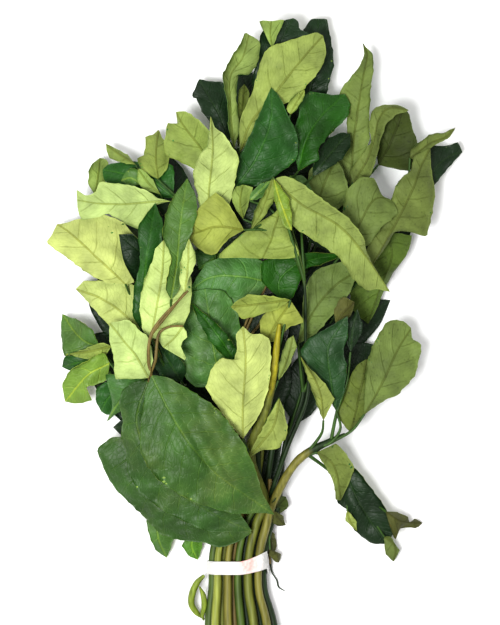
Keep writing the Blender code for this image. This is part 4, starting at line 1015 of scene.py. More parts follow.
# %% The fine leaflet
def fine_plan(spec):
    """A leaflet's fine grid in plan, where its columns lie from -1 at the left edge to 1 at the
    right, and how far each point lies across from the midrib and along it."""
    rib, left, right = rails_of(spec)
    cell = HIDDEN_CELL if spec["hidden"] else FINE_CELL
    long = length_of(rib)
    rows = max(int(long / cell), LEAST_ROWS) + 1
    middle = smooth_curve(rib, rows)
    left, right = smooth_curve(left, rows, CRISP), smooth_curve(right, rows, CRISP)
    wide = np.linalg.norm(left - right, axis=1).max()
    half = int(np.clip(wide / cell / 2, *HALF_COLUMNS))
    if not spec["hidden"]:
        left, right = with_teeth(left, middle), with_teeth(right, middle)
    even = np.linspace(-1, 1, 2 * half + 1)
    s = np.sign(even) * np.abs(even) ** CROWD
    left_part, right_part = np.maximum(-s, 0), np.maximum(s, 0)
    grid = middle[:, None] + (left - middle)[:, None] * left_part[:, None]
    grid = grid + (right - middle)[:, None] * right_part[:, None]
    left_wide = np.linalg.norm(left - middle, axis=1)[:, None]
    right_wide = np.linalg.norm(right - middle, axis=1)[:, None]
    across = np.where(s[None] < 0, left_wide, right_wide) * s[None]
    along = np.linspace(0, long, rows)[:, None] + 0 * across
    return grid, s, across, along


def coarse_heights(spec, rows, s):
    """The heights of the coarse blade, read at the fine grid's points."""
    flat = widen(widen(spec["grid"][..., 2], rows).T, READ_ACROSS).T
    at = (s + 1) / 2 * (READ_ACROSS - 1)
    return np.array([np.interp(at, np.arange(READ_ACROSS), row) for row in flat])


def vein_relief(spec, across, lateral, s):
    """How far the veins stand up from an underside, or sink into an upper face."""
    phase = (lateral / VEIN_EVERY + 0.5 * (across > 0)) % 1
    off_vein = (0.5 - np.abs(phase - 0.5)) * VEIN_EVERY
    vein = np.exp(-((off_vein / VEIN_HALF) ** 2)) * (1 - np.abs(s[None]) ** 3)
    rib_form = np.exp(-((across / RIB_HALF) ** 2))
    sunk = -1 if LOOKS[spec["look"]][0] == "upper" else 1
    return sunk * VEIN_DEPTH * (vein + 1.3 * rib_form)


def wrinkles(x, y, s):
    """Soft ripples, sharper creases, and waves that are strongest at the edge."""
    uneven = ripples(x, y)
    crease = np.abs(ripples(x, y, waves=4))
    wavy = ripples(x, y, 4, 16 * MM, 8 * MM) * np.abs(s[None]) ** 3
    return RIPPLE * uneven * 0.5 + RIPPLE * 0.9 * (crease - 0.7) + EDGE_WAVE * wavy


def fine_leaf(spec, heights):
    """The fine grid of a leaflet, lying on the map, and where its veins run."""
    grid, s, across, along = fine_plan(spec)
    rows, rib_column = len(grid), len(s) // 2
    lateral = along - VEIN_LEAN * np.abs(across) - VEIN_BEND * across**2
    body = np.maximum(np.sin(math.pi * np.linspace(0, 1, rows)[:, None]), 0) ** 0.6
    z = coarse_heights(spec, rows, s) + vein_relief(spec, across, lateral, s) * body
    if not spec["hidden"]:
        z = z + wrinkles(grid[..., 0], grid[..., 1], s) * body
    under = heights.height(grid)
    ground = np.where(under > 0, under + SKIN_CLEAR, SURFACE_GAP)
    lift = np.maximum(ground + SKIN / 2 - z, 0)
    lift[0], lift[-1] = lift[0].max(), lift[-1].max()
    grid[..., 2] = z + spread_lift(lift)
    grid[0], grid[-1] = grid[0, rib_column], grid[-1, rib_column]
    place = np.stack([across / MM, lateral / MM, np.abs(s)[None] + 0 * across], axis=-1)
    return grid, place


# %% [markdown]
# ## A skin on each side
# The two faces are two skins of one closed blade, joined round the edge. They need different
# materials, and an overturned edge then shows the other face without any trick. The Solidify
# modifier could make the second skin, but it would not carry each leaflet's own two colours. Three
# attributes go with every point: where it lies on its blade, its colour, and how strongly its marks
# show: flecks on an underside, a painted pale sheen on an upper face.

# %% Turn a grid into a closed blade
def blade_shell(grid, place, spec):
    """Vertices, faces, their material and their attributes for one leaflet."""
    rows, columns, _ = grid.shape
    down = np.gradient(grid, axis=0)
    side = np.gradient(grid, axis=1)
    normal = np.cross(side, down)
    normal[0], normal[-1] = normal[1, columns // 2], normal[-2, columns // 2]
    normal /= np.maximum(np.linalg.norm(normal, axis=-1, keepdims=True), 1e-12)
    normal *= np.where(normal[..., 2:].mean() < 0, -1, 1)
    thin = (1 - 0.45 * place[..., 2:] ** 4) * SKIN / 2
    skins = [grid + normal * thin, grid - normal * thin]
    count = (rows - 2) * columns + 2

    def number(i, j):
        return 0 if i == 0 else count - 1 if i == rows - 1 else 1 + (i - 1) * columns + j

    sheet = []
    for i in range(rows - 1):
        for j in range(columns - 1):
            corners = [number(i, j), number(i, j + 1), number(i + 1, j + 1), number(i + 1, j)]
            sheet.append(tuple(dict.fromkeys(corners)))
    a, b, c = (skins[0].reshape(-1, 3)[columns * 2 + k] for k in (0, 1, columns))
    flip = np.cross(b - a, c - a)[2] < 0
    top = [face[::-1] if flip else face for face in sheet]
    bottom = [tuple(k + count for k in face[::-1]) for face in top]
    loop = [number(i, 0) for i in range(rows)]
    loop += [number(i, columns - 1) for i in range(rows - 2, 0, -1)]
    rim = []
    for a, b in zip(loop, loop[1:] + loop[:1]):
        rim.append((a, b, b + count, a + count) if flip else (b, a, a + count, b + count))
    points, places = [], []
    for skin in skins:
        points += [skin[:1, 0], skin[1:-1].reshape(-1, 3), skin[-1:, 0]]
        places += [place[:1, columns // 2], place[1:-1].reshape(-1, 3), place[-1:, columns // 2]]
    up, upper, under, sheen_and_speck_share = LOOKS[spec["look"]]
    shades = [linear(upper), linear(under)]
    order = (0, 1) if up == "upper" else (1, 0)
    # Hidden leaflets are made 15 % darker: painted shade for the gaps where they show
    tone = dice.uniform(0.9, 1.1) * (0.85 if spec["hidden"] else 1)
    warm = dice.uniform(-0.06, 0.06)
    tints = []
    for which in order:
        r, g, b = shades[which]
        tint = (r * tone * (1 + warm), g * tone, b * tone * (1 - warm), 1.0)
        tints.append(np.tile(tint, (count, 1)))
    slots = [order[0]] * len(top) + [order[1]] * len(bottom) + [order[0]] * len(rim)
    return {
        "points": np.vstack(points),
        "faces": top + bottom + rim,
        "slots": slots,
        "place": np.vstack(places),
        "tint": np.vstack(tints),
        "sheen_and_speck_share": np.full(2 * count, sheen_and_speck_share),
    }


def join_shells(name, shells, materials):
    """One mesh object from several shells, with their attributes."""
    faces, offset = [], 0
    for shell in shells:
        faces += [tuple(k + offset for k in face) for face in shell["faces"]]
        offset += len(shell["points"])
    mesh = bpy.data.meshes.new(name)
    mesh.from_pydata(np.vstack([shell["points"] for shell in shells]).tolist(), [], faces)
    mesh.polygons.foreach_set("material_index", sum((shell["slots"] for shell in shells), []))
    for key, kind, field in (("place", "FLOAT_VECTOR", "vector"), ("tint", "FLOAT_COLOR", "color"),
                             ("sheen_and_speck_share", "FLOAT", "value")):
        values = np.concatenate([shell[key] for shell in shells]).astype(np.float32)
        mesh.attributes.new(key, kind, "POINT").data.foreach_set(field, values.ravel())
    for material in materials:
        mesh.materials.append(material)
    mesh.shade_smooth()
    piece = bpy.data.objects.new(name, mesh)
    bpy.context.scene.collection.objects.link(piece)
    return piece


# %% [markdown]
# ## Nodes
# Every material and the stem tree are built from many nodes. Four small functions keep that short:
# one adds a node and joins it up, one does a sum, one makes a soft step from one to nothing, and one
# makes a noise of a real size.

# %% Build nodes
def add(tree, kind, sockets=None, **settings):
    """Adds a node, gives it its settings, and fills its sockets with values or links."""
    node = tree.nodes.new(kind)
    for key, value in settings.items():
        setattr(node, key, value)
    for socket, source in (sockets or {}).items():
        if isinstance(source, bpy.types.NodeSocket):
            tree.links.new(source, node.inputs[socket])
        else:
            node.inputs[socket].default_value = source
    return node


def maths(tree, operation, *values):
    return add(tree, "ShaderNodeMath", dict(enumerate(values)), operation=operation).outputs[0]


def falling(tree, value, near, far):
    """One up to near, and from there falling to nothing at far."""
    ranges = {"Value": value, "From Min": near, "From Max": far, "To Min": 1.0, "To Max": 0.0}
    return add(tree, "ShaderNodeMapRange", ranges, interpolation_type="SMOOTHSTEP").outputs[0]


def noise(tree, where, size, detail):
    """A noise whose blotches are about as far apart as the given size in metres."""
    sockets = {"Vector": where, "Scale": 1 / size, "Detail": detail}
    return add(tree, "ShaderNodeTexNoise", sockets).outputs[0]


print("node helpers are ready in Blender", bpy.app.version_string)

# %% [markdown]
# ## Veins
# Both faces of a leaf carry the same network: the midrib, side veins that leave it at a wide angle,
# and fine rungs between them. A picture of veins would slide on a bent leaf, so the lines are worked
# out from where a point lies on its own blade, which the mesh carries in millimetres: how far beside
# the midrib, how far along a side vein's slant, and what share of the way to the edge.

# %% Where the veins run
# In millimetres: how far a side vein wanders, and how far apart and how long the rungs are
VEIN_WANDER = 4.0
RUNG_APART = 2.6
RUNG_LONG = 4.5


def vein_lines(tree, across, along, share, patches, rib_fades):
    """How strongly the midrib, the side veins and the rungs show at each point, from 0 to 1."""
    every = VEIN_EVERY / MM
    wander = maths(tree, "MULTIPLY", maths(tree, "SUBTRACT", patches, 0.5), VEIN_WANDER)
    lateral = maths(tree, "ADD", along, wander)

    # The veins on the right half lie half a step further on than those on the left
    half_step = maths(tree, "MULTIPLY", maths(tree, "GREATER_THAN", across, 0.0), 0.5)
    turn = maths(tree, "ADD", maths(tree, "DIVIDE", lateral, every), half_step)
    phase = maths(tree, "ABSOLUTE", maths(tree, "SUBTRACT", maths(tree, "FRACT", turn), 0.5))
    off_vein = maths(tree, "MULTIPLY", maths(tree, "SUBTRACT", 0.5, phase), every)
    fade = falling(tree, share, 0.55, 1.0)
    side_vein = maths(tree, "MULTIPLY", falling(tree, off_vein, 0.1, 0.7), fade)

    # The midrib is up to 1.8 mm wide, and on the upper face it gets fainter towards the tip
    rib_fade = maths(tree, "MULTIPLY_ADD", falling(tree, along, 12.0, 75.0), 0.6, 0.4)
    near_rib = falling(tree, maths(tree, "ABSOLUTE", across), 0.3, 0.9)
    midrib = maths(tree, "MULTIPLY", near_rib, rib_fade if rib_fades else 1.0)

    # The rungs are the borders of long cells
    cells = add(tree, "ShaderNodeCombineXYZ", {0: maths(tree, "DIVIDE", across, RUNG_LONG),
                                               1: maths(tree, "DIVIDE", lateral, RUNG_APART)})
    borders = add(tree, "ShaderNodeTexVoronoi", {"Vector": cells.outputs[0], "Scale": 1.0},
                  feature="DISTANCE_TO_EDGE", voronoi_dimensions="2D").outputs["Distance"]
    return midrib, side_vein, falling(tree, borders, 0.02, 0.13)


print("side veins every", VEIN_EVERY / MM, "mm, rungs every", RUNG_APART, "mm")

# %% [markdown]
# ## The two faces of a leaf
# The upper face is waxed and dark, with pale veins that lie in grooves. The underside is matt and
# pale, with darker veins that stand up from it. Both are one recipe with two sets of numbers.

# %% Leaf faces
# Sizes on the real leaf: patches where the tone goes darker and lighter, grain, flecks on the
# underside, and patches of painted pale sheen
PATCH = 15.4 * MM
GRAIN = 1.11 * MM
FLECK = 3.85 * MM
SHEEN_PATCH = 35.7 * MM
LEAF_RELIEF = 0.38 * MM

# What the colour is multiplied by where each thing shows, then how far the rungs and the patches
# stand up, and the surface itself. On an upper face the marks are a painted pale grey sheen, on an
# underside dark flecks
UPPER = {
    "net": (1.3, 1.25, 1.35), "side_vein": (1.3, 1.2, 1.0), "midrib": (1.8, 1.45, 1.0),
    "edge": (1.5, 1.35, 1.1), "sheen_and_flecks": (2.6, 1.55, 2.4),
    "net_rise": 0.4, "patch_rise": -5.0, "rough": (0.4, 0.6), "ior": 1.4,
}
UNDER = {
    "net": (0.84, 0.86, 0.78), "side_vein": (0.85, 0.85, 0.74), "midrib": (0.72, 0.70, 0.5),
    "edge": (1.12, 1.12, 1.0), "sheen_and_flecks": (0.3, 0.3, 0.3),
    "net_rise": 0.25, "patch_rise": 5.0, "rough": (0.62, 0.8), "ior": 1.38,
}


def multiply_colours(tree, colour, layers):
    """Multiplies a colour by each layer's colour, as strongly as that layer's share says."""
    for share, gain in layers:
        mix = add(tree, "ShaderNodeMix", data_type="RGBA", blend_type="MULTIPLY")
        tree.links.new(colour, mix.inputs[6])
        tree.links.new(share, mix.inputs[0])
        mix.inputs[7].default_value = (*gain, 1)
        colour = mix.outputs[2]
    return colour


def shade_by(tree, colour, level):
    """Makes a colour darker or lighter by a plain number at each point."""
    mix = add(tree, "ShaderNodeMix", data_type="RGBA", blend_type="MULTIPLY")
    mix.inputs[0].default_value = 1.0
    tree.links.new(colour, mix.inputs[6])
    tree.links.new(level, mix.inputs[7])
    return mix.outputs[2]


def leaf_material(name, face):
    under = face is UNDER
    material = bpy.data.materials.new(name)
    material.use_nodes = True
    tree = material.node_tree
    shader = tree.nodes["Principled BSDF"]
    place = add(tree, "ShaderNodeAttribute", attribute_name="place").outputs["Vector"]
    tint = add(tree, "ShaderNodeAttribute", attribute_name="tint").outputs["Color"]
    sheen_and_speck_share = add(tree, "ShaderNodeAttribute", attribute_name="sheen_and_speck_share").outputs["Fac"]
    body = add(tree, "ShaderNodeTexCoord").outputs["Object"]
    across, along, share = add(tree, "ShaderNodeSeparateXYZ", {0: place}).outputs
    patches = noise(tree, body, PATCH, 3.0)
    grain = noise(tree, body, GRAIN, 2.0)
    midrib, side_vein, net = vein_lines(tree, across, along, share, patches, not under)

    # The underside is marked by small flecks, the upper face by a painted pale sheen that keeps to
    # the net
    if under:
        flecks = add(tree, "ShaderNodeTexVoronoi", {"Vector": body, "Scale": 1 / FLECK})
        sheen_and_flecks = falling(tree, flecks.outputs["Distance"], 0.12, 0.25)
    else:
        no_sheen = falling(tree, noise(tree, body, SHEEN_PATCH, 4.0), 0.45, 0.62)
        on_net = maths(tree, "MULTIPLY_ADD", net, 0.3, 0.6)
        sheen_and_flecks = maths(tree, "MULTIPLY", maths(tree, "SUBTRACT", 1.0, no_sheen), on_net)

    # Tone over patches, then what lightens or darkens it
    edge = maths(tree, "SUBTRACT", 1.0, falling(tree, share, 0.965, 1.0))
    colour = shade_by(tree, tint, maths(tree, "MULTIPLY_ADD", patches, 1.3, 0.35))
    colour = multiply_colours(tree, colour, (
        (maths(tree, "MULTIPLY", net, 0.5), face["net"]),
        (side_vein, face["side_vein"]),
        (midrib, face["midrib"]),
        (edge, face["edge"]),
        (maths(tree, "MULTIPLY", sheen_and_flecks, sheen_and_speck_share), face["sheen_and_flecks"]),
    ))
    tree.links.new(colour, shader.inputs["Base Color"])

    # The relief: veins and rungs, a fine grain, and the quilting between the veins
    veins = maths(tree, "MAXIMUM", midrib, side_vein)
    rise = maths(tree, "MULTIPLY_ADD", net, face["net_rise"], veins)
    rise = maths(tree, "MULTIPLY_ADD", grain, 0.25, rise)
    rise = maths(tree, "MULTIPLY_ADD", patches, face["patch_rise"], rise)
    bump = add(tree, "ShaderNodeBump", {"Strength": 0.8, "Distance": LEAF_RELIEF, "Height": rise},
               invert=not under)
    tree.links.new(bump.outputs[0], shader.inputs["Normal"])
    low, high = face["rough"]
    rough = add(tree, "ShaderNodeMapRange", {"Value": grain, "To Min": low, "To Max": high})
    tree.links.new(rough.outputs[0], shader.inputs["Roughness"])
    shader.inputs["IOR"].default_value = face["ior"]
    shader.inputs["Metallic"].default_value = 0.0
    return material


# A leaf's waxed upper face: a soft sheen over dark green, from its gloss and from painted pale
# patches. Its underside: matt, with raised veins
leaf_upper = leaf_material("leaf_upper_waxy", UPPER)
leaf_under = leaf_material("leaf_underside_matt", UNDER)
print("leaf materials:", leaf_upper.name, leaf_under.name)

# %% [markdown]
# ## Stem material
# A fresh stem is firm and finely grooved. Its skin has a dull shine, and its green turns to yellow
# and brown in long streaks. The streaks are a noise stretched along Y, since nearly all the stems
# run that way.

# %% Stem skin
STREAK_WIDE = 2.08 * MM
STREAK_LONG = 25 * MM
STREAK_RELIEF = 0.3 * MM


def stem_material(name):
    """Skin of a fresh stem: firm, with a dull shine and long streaks."""
    material = bpy.data.materials.new(name)
    material.use_nodes = True
    tree = material.node_tree
    shader = tree.nodes["Principled BSDF"]
    tint = add(tree, "ShaderNodeAttribute", attribute_name="tint").outputs["Color"]
    body = add(tree, "ShaderNodeTexCoord").outputs["Object"]
    # The place is counted in streaks, so the noise needs no size of its own
    stretch = (1 / STREAK_WIDE, 1 / STREAK_LONG, 1 / STREAK_WIDE)
    long = add(tree, "ShaderNodeMapping", {"Vector": body, "Scale": stretch}).outputs[0]
    streak = noise(tree, long, 1.0, 4.0)
    colour = shade_by(tree, tint, maths(tree, "MULTIPLY", streak, 2.0))
    tree.links.new(colour, shader.inputs["Base Color"])
    bump = add(tree, "ShaderNodeBump", {"Strength": 0.5, "Distance": STREAK_RELIEF, "Height": streak})
    tree.links.new(bump.outputs[0], shader.inputs["Normal"])
    shader.inputs["Roughness"].default_value = 0.55
    shader.inputs["IOR"].default_value = 1.4
    return material


stem_skin = stem_material("stem_skin_grooved")
print("stem material:", stem_skin.name)

# %% [markdown]
# ## Stems by Geometry Nodes
# A stem and its leaf stalks are tubes along paths, which is what Curve to Mesh does. The skeleton
# is a plain line mesh that carries each point's thickness. The tree turns it to curves and runs a
# ribbed ring along them. Modelling every tube by hand would give the same form with more work.

# %% The ribbed stem tree
# Six ribs round a stem, with grooves between them as deep as this share of its radius
STEM_RIBS = 6
STEM_GROOVE = 0.12


def ribbed_stem_tree():
    """The node tree, and the names by which a modifier knows its inputs."""
    tree = bpy.data.node_groups.new("ribbed_stem", "GeometryNodeTree")
    face = tree.interface
    face.new_socket("Geometry", in_out="INPUT", socket_type="NodeSocketGeometry")
    ribs = face.new_socket("Ribs", in_out="INPUT", socket_type="NodeSocketInt")
    groove = face.new_socket("Groove", in_out="INPUT", socket_type="NodeSocketFloat")
    skin = face.new_socket("Skin", in_out="INPUT", socket_type="NodeSocketMaterial")
    face.new_socket("Geometry", in_out="OUTPUT", socket_type="NodeSocketGeometry")
    given = add(tree, "NodeGroupInput").outputs
    lines = add(tree, "GeometryNodeMeshToCurve", {"Mesh": given["Geometry"]}).outputs[0]
    inner = maths(tree, "SUBTRACT", 1.0, given["Groove"])
    ring = {"Points": given["Ribs"], "Inner Radius": inner, "Outer Radius": 1.0}
    star = add(tree, "GeometryNodeCurveStar", ring).outputs[0]
    size = add(tree, "GeometryNodeInputNamedAttribute", {"Name": "thickness"}, data_type="FLOAT")
    sweep = {"Curve": lines, "Profile Curve": star, "Scale": size.outputs[0], "Fill Caps": True}
    tubes = add(tree, "GeometryNodeCurveToMesh", sweep).outputs[0]
    smooth = add(tree, "GeometryNodeSetShadeSmooth", {"Geometry": tubes}).outputs[0]
    real = add(tree, "GeometryNodeRealizeInstances", {"Geometry": smooth}).outputs[0]
    painted = add(tree, "GeometryNodeSetMaterial", {"Geometry": real, "Material": given["Skin"]})
    add(tree, "NodeGroupOutput", {"Geometry": painted.outputs[0]})
    return tree, {"ribs": ribs.identifier, "groove": groove.identifier, "skin": skin.identifier}


stem_tree, stem_inputs = ribbed_stem_tree()
print("stem tree:", len(stem_tree.nodes), "nodes")


# %% Run the tree
def run_stem_tree(name, lines, material):
    """Runs the tree on lines, each with points, thicknesses and colours, and keeps the mesh."""
    points, edges, sizes, tints = [], [], [], []
    for line, thickness, tint in lines:
        start = len(points)
        points += line.tolist()
        edges += [(start + i, start + i + 1) for i in range(len(line) - 1)]
        sizes += list(thickness)
        tints += [(*colour, 1.0) for colour in tint]
    mesh = bpy.data.meshes.new(name + "_lines")
    mesh.from_pydata(points, edges, [])
    mesh.attributes.new("thickness", "FLOAT", "POINT").data.foreach_set("value", sizes)
    colours = mesh.attributes.new("tint", "FLOAT_COLOR", "POINT").data
    colours.foreach_set("color", np.array(tints, np.float32).ravel())
    piece = bpy.data.objects.new(name, mesh)
    bpy.context.scene.collection.objects.link(piece)
    grow = piece.modifiers.new("Ribbed stem", "NODES")
    grow.node_group = stem_tree
    grow[stem_inputs["ribs"]] = STEM_RIBS
    grow[stem_inputs["groove"]] = STEM_GROOVE
    grow[stem_inputs["skin"]] = material
    bpy.context.view_layer.update()
    grown = piece.evaluated_get(bpy.context.evaluated_depsgraph_get())
    solid = bpy.data.meshes.new_from_object(grown)
    piece.modifiers.clear()
    piece.data = solid
    solid.name = name
    return piece


# %% [markdown]
# ## Lay the fine shoots
# The same order again, now with the fine blades and over a fine map. A stem's first stretch stays
# where the tie holds it, and the rest settles on what is below.

# %% Fine tubes
TUBE_STEP = 2.5 * MM
FREE_AFTER = 12 * MM
READ_ROUND = 7


def lay_fine_tube(path, radii, heights, held_length):
    """A tube's line at close steps, settled on the map past the length that is held."""
    count = max(int(length_of(path) / TUBE_STEP), 6)
    line = smooth_curve(np.column_stack([path, radii]), count)
    line, size = line[:, :3], line[:, 3]
    need = np.zeros(count)
    aside = sideways(np.gradient(line[:, :2], axis=0))
    for across in np.linspace(-1, 1, READ_ROUND):
        spot = line[:, :2] + aside * (size * across)[:, None]
        drop = size * math.sqrt(max(1 - across**2, 0))
        need = np.maximum(need, heights.height(spot) + SKIN_CLEAR + drop)
    free = np.clip((distances(line) - held_length) / FREE_AFTER, 0, 1)
    lift = np.maximum(need - line[:, 2], 0) * free
    lift = spread_lift(lift[:, None] * np.ones((1, READ_ROUND)))[:, READ_ROUND // 2]
    line[:, 2] += lift * free
    return line, size


def map_blade(grid, heights, hidden):
    """Adds a blade's points to a map, and points between them, so that the map has no holes."""
    up = (0, 0, SKIN / 2)
    heights.add(grid + up)
    heights.add((grid[1:] + grid[:-1]) / 2 + up)
    heights.add((grid[:, 1:] + grid[:, :-1]) / 2 + up)
    if hidden:
        for share in (0.25, 0.75):
            heights.add(grid[1:] * share + grid[:-1] * (1 - share) + up)
    heights.settle()


print("tubes get a ring every", TUBE_STEP / MM, "mm")

# %% [markdown]
# ## Stalks and nodes
# A leaflet's stalk leaves the stem at a node, where the stem is a little swollen. The stalk may bend
# on its way. Stem and stalks stay plain lines with a thickness and a colour, and the node tree turns
# a shoot's lines to ribbed tubes in one go. The bare sprouts of a shoot are such lines too.

# %% Stem and stalk lines
# How much of its width a stem loses by its tip, and how much thinner than drawn it may be
STEM_TAPER = 0.6
STEM_WIDTHS = (0.8, 1.0)
# Between these shares of its length a stem comes to its own thickness past the tie
STOUT_BETWEEN = (0.35, 0.6)
# Over this share of its length its colour turns to that of its tip
COLOUR_TURN = 0.03
FINE_STALK = 1.2 * MM
FINE_STALK_TOP = 0.7 * MM
NODE_SWELL = 0.3 * MM
NODE_RINGS = 1.6


def fine_stem(shoot, heights):
    """A shoot's stem: its line, its thickness and its colour at each ring."""
    held_length = length_of(shoot["path"][: shoot["held"]])
    stem, size = lay_fine_tube(shoot["path"], shoot["radii"], heights, held_length)
    along = np.linspace(0, 1, len(stem))
    size = size * dice.uniform(*STEM_WIDTHS) * (1 - STEM_TAPER * along ** shoot["taper"])
    size = size * np.interp(along, STOUT_BETWEEN, (1, shoot["stout"]))
    tip_colour, tip_share = shoot["tip"]
    low_tint = np.array(linear(STEM_COLOURS[shoot["colour"]]))
    tip_tint = np.array(linear(STEM_COLOURS[tip_colour]))
    turn = np.clip((along - tip_share) / COLOUR_TURN, 0, 1)[:, None]
    return stem, size, low_tint * (1 - turn) + tip_tint * turn


def fine_stalk(spec, stem, tint, blade_base, heights):
    """A leaflet's stalk from its node to its blade, and the number of the stem's ring there."""
    line = spec["line"].copy()
    if spec["stalk"]:
        joint = max(nearest_on(stem, line[2]) - 4, 0)
        line = np.vstack([stem[joint], line[2:]])
    else:
        joint = nearest_on(stem, line[0])
        line[0] = stem[joint]
    line[-1] = blade_base
    sizes = np.linspace(FINE_STALK, FINE_STALK_TOP, len(line))
    line, sizes = lay_fine_tube(line, sizes, heights, 0)
    line[-1] = blade_base
    return joint, (line, sizes, np.tile(tint, (len(line), 1)))


def sprig_line(colour, points, thickness):
    """A bare sprout or tendril as a line with its thickness and its colour."""
    line = smooth_curve(on_plan(points), 8 * len(points))
    sizes = np.interp(np.linspace(0, 1, len(line)), np.linspace(0, 1, len(thickness)), thickness)
    tint = np.tile(linear(STEM_COLOURS[colour]), (len(line), 1))
    return line, sizes / 2 * MM, tint


print("stems lose", STEM_TAPER, "of their width, and each node adds", NODE_SWELL / MM, "mm")

# %% [markdown]
# ## Build the shoots
# Leaflets of one shoot lie on each other as much as on those of other shoots, so each is draped over
# a copy of the map that already holds the ones before it. The shoot's stem and stalks join the map
# when the whole shoot lies. Its blades and its stems then replace the same packed shoot.

# %% Build the shoots
fine_map = HeightMap()
stem_lines = {}
for shoot in shoots:
    stem, stem_size, stem_tint = fine_stem(shoot, fine_map)
    brown = shoot["tip"][0] == "brown"
    stalk_tint = np.array(linear(STEM_COLOURS["brown"] if brown else STALK_GREEN))
    swell = np.zeros(len(stem))
    rings = np.arange(len(stem))
    shells, stalks = [], []
    before = HeightMap()
    before.top = fine_map.top.copy()
    before.settle()
    for spec in shoot["leaves"]:
        grid, place = fine_leaf(spec, before)
        map_blade(grid, before, spec["hidden"])
        shells.append(blade_shell(grid, place, spec))
        joint, stalk = fine_stalk(spec, stem, stalk_tint, grid[0, 0], fine_map)
        swell = np.maximum(swell, NODE_SWELL * np.exp(-(((rings - joint) / NODE_RINGS) ** 2)))
        stalks.append(stalk)
    stalks += [sprig_line(*parts) for parts in shoot["sprigs"]]
    stem_size = stem_size + swell
    fine_map.top = before.top
    map_tube(stem, stem_size, fine_map)
    for line, sizes, _ in stalks:
        map_tube(line, sizes, fine_map)
    fine_map.settle()
    stem_lines[shoot["name"]] = (stem, stem_size)
    leaves_piece = join_shells(shoot["name"] + "_leaves", shells, [leaf_upper, leaf_under])
    stems_piece = run_stem_tree(shoot["name"] + "_stems", [(stem, stem_size, stem_tint), *stalks],
                                stem_skin)
    for piece in (leaves_piece, stems_piece):
        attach(piece, "root")
        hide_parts(shoot["name"])
    print(shoot["name"], len(leaves_piece.data.polygons), "leaf faces and",
          len(stems_piece.data.polygons), "stem faces")
print("fine heap is", round(fine_map.top.max() / MM, 1), "mm high")

# %% [markdown]
# ## The tie
# A strip of thin white plastic is wound round the stems, pulled tight and lapped over itself. Its
# upper edge rises to the right, it is slightly crumpled, and a faint pink mark shows where it was
# handled. It is a ribbon run round the outline of the stems, with its creases as real relief.

# %% The outline of the stems
def around_stems(circles):
    """The outline of a cord pulled tight round circles, as points in their plane."""
    spots = sorted((x + r * math.cos(a), z + r * math.sin(a))
                   for x, z, r in circles for a in np.linspace(0, 2 * math.pi, 33)[:-1])

    def half(points):
        line = []
        for point in points:
            while len(line) > 1:
                (ax, az), (bx, bz) = line[-2], line[-1]
                if (bx - ax) * (point[1] - az) - (bz - az) * (point[0] - ax) > 0:
                    break
                line.pop()
            line.append(point)
        return line[:-1]

    return np.array(half(spots) + half(spots[::-1]))


def tie_circles():
    """Every stem's cut through the tie at its lower edge, its middle and its upper edge."""
    circles = []
    for stem, size in stem_lines.values():
        order = np.argsort(stem[:, 1])
        for y in (-TIE_WIDTH / 2, 0, TIE_WIDTH / 2):
            x, z, r = (np.interp(y, stem[order, 1], column[order])
                       for column in (stem[:, 0], stem[:, 2], size))
            circles.append((x, z, r + TIE_CLEAR))
    return circles


tie_ring = around_stems(tie_circles())
tie_ring = np.vstack([tie_ring, tie_ring[:1]])
print("the tie is", round(length_of(tie_ring) / MM), "mm round")

# %% [markdown]
# ## The band
# The band is a grid of points: round the stems one way, and across its width the other. Creases and
# the rising right end only move those points, so the band stays one closed strip.

# %% Wind the tie
# Points round the stems and across the band, and its thickness
TIE_STEPS = 260
TIE_ACROSS = 13
TIE_FILM = 0.45 * MM
# Where the right end starts to rise, over what width, how far up it goes and how much it widens
RISE_FROM = 3 * MM
RISE_OVER = 19 * MM
RISE_UP = 6.0 * MM
RISE_WIDER = 0.4


def wind_tie(ring):
    """The band's points: those of its inner face, then those of its outer face."""
    run = distances(ring)
    at = np.linspace(0, run[-1], TIE_STEPS, endpoint=False)
    x, z = (np.interp(at, run, ring[:, k]) for k in (0, 1))
    centre = np.array([x.mean(), z.mean()])
    out = np.column_stack([x, z]) - centre
    out /= np.linalg.norm(out, axis=1, keepdims=True)

    # The band rises and widens at its right end, but only on the side that faces up
    on_top = np.clip((z - centre[1]) / (4 * MM), 0, 1)
    rise = np.clip((x - RISE_FROM) / RISE_OVER, 0, 1) ** 1.3 * on_top
    wide = TIE_WIDTH * (1.02 + RISE_WIDER * rise)
    spread = np.linspace(-0.5, 0.5, TIE_ACROSS)
    y = spread[None] * wide[:, None] + (RISE_UP * rise - 0.6 * MM)[:, None]

    # Long creases and short folds, deeper where the band is loose
    crumple = ripples(at[:, None] + 0 * y, y * 3, 7, 14 * MM, 4 * MM)
    fold = np.abs(ripples(at[:, None] * 2 + 0 * y, y * 6, 5, 16 * MM, 7 * MM))
    proud = 0.25 * MM + (0.12 + 0.3 * rise[:, None]) * MM * (crumple * 0.5 + fold)
    proud = np.maximum(proud, 0.12 * MM)
    inner = np.stack([x[:, None] + out[:, :1] * proud, y, z[:, None] + out[:, 1:] * proud], axis=-1)
    wall = TIE_FILM * np.concatenate([out[:, :1], 0 * out[:, :1], out[:, 1:]], axis=1)[:, None]
    points = np.concatenate([inner.reshape(-1, 3), (inner + wall).reshape(-1, 3)])
    points[:, 2] = np.maximum(points[:, 2], 0.05 * MM)
    return points


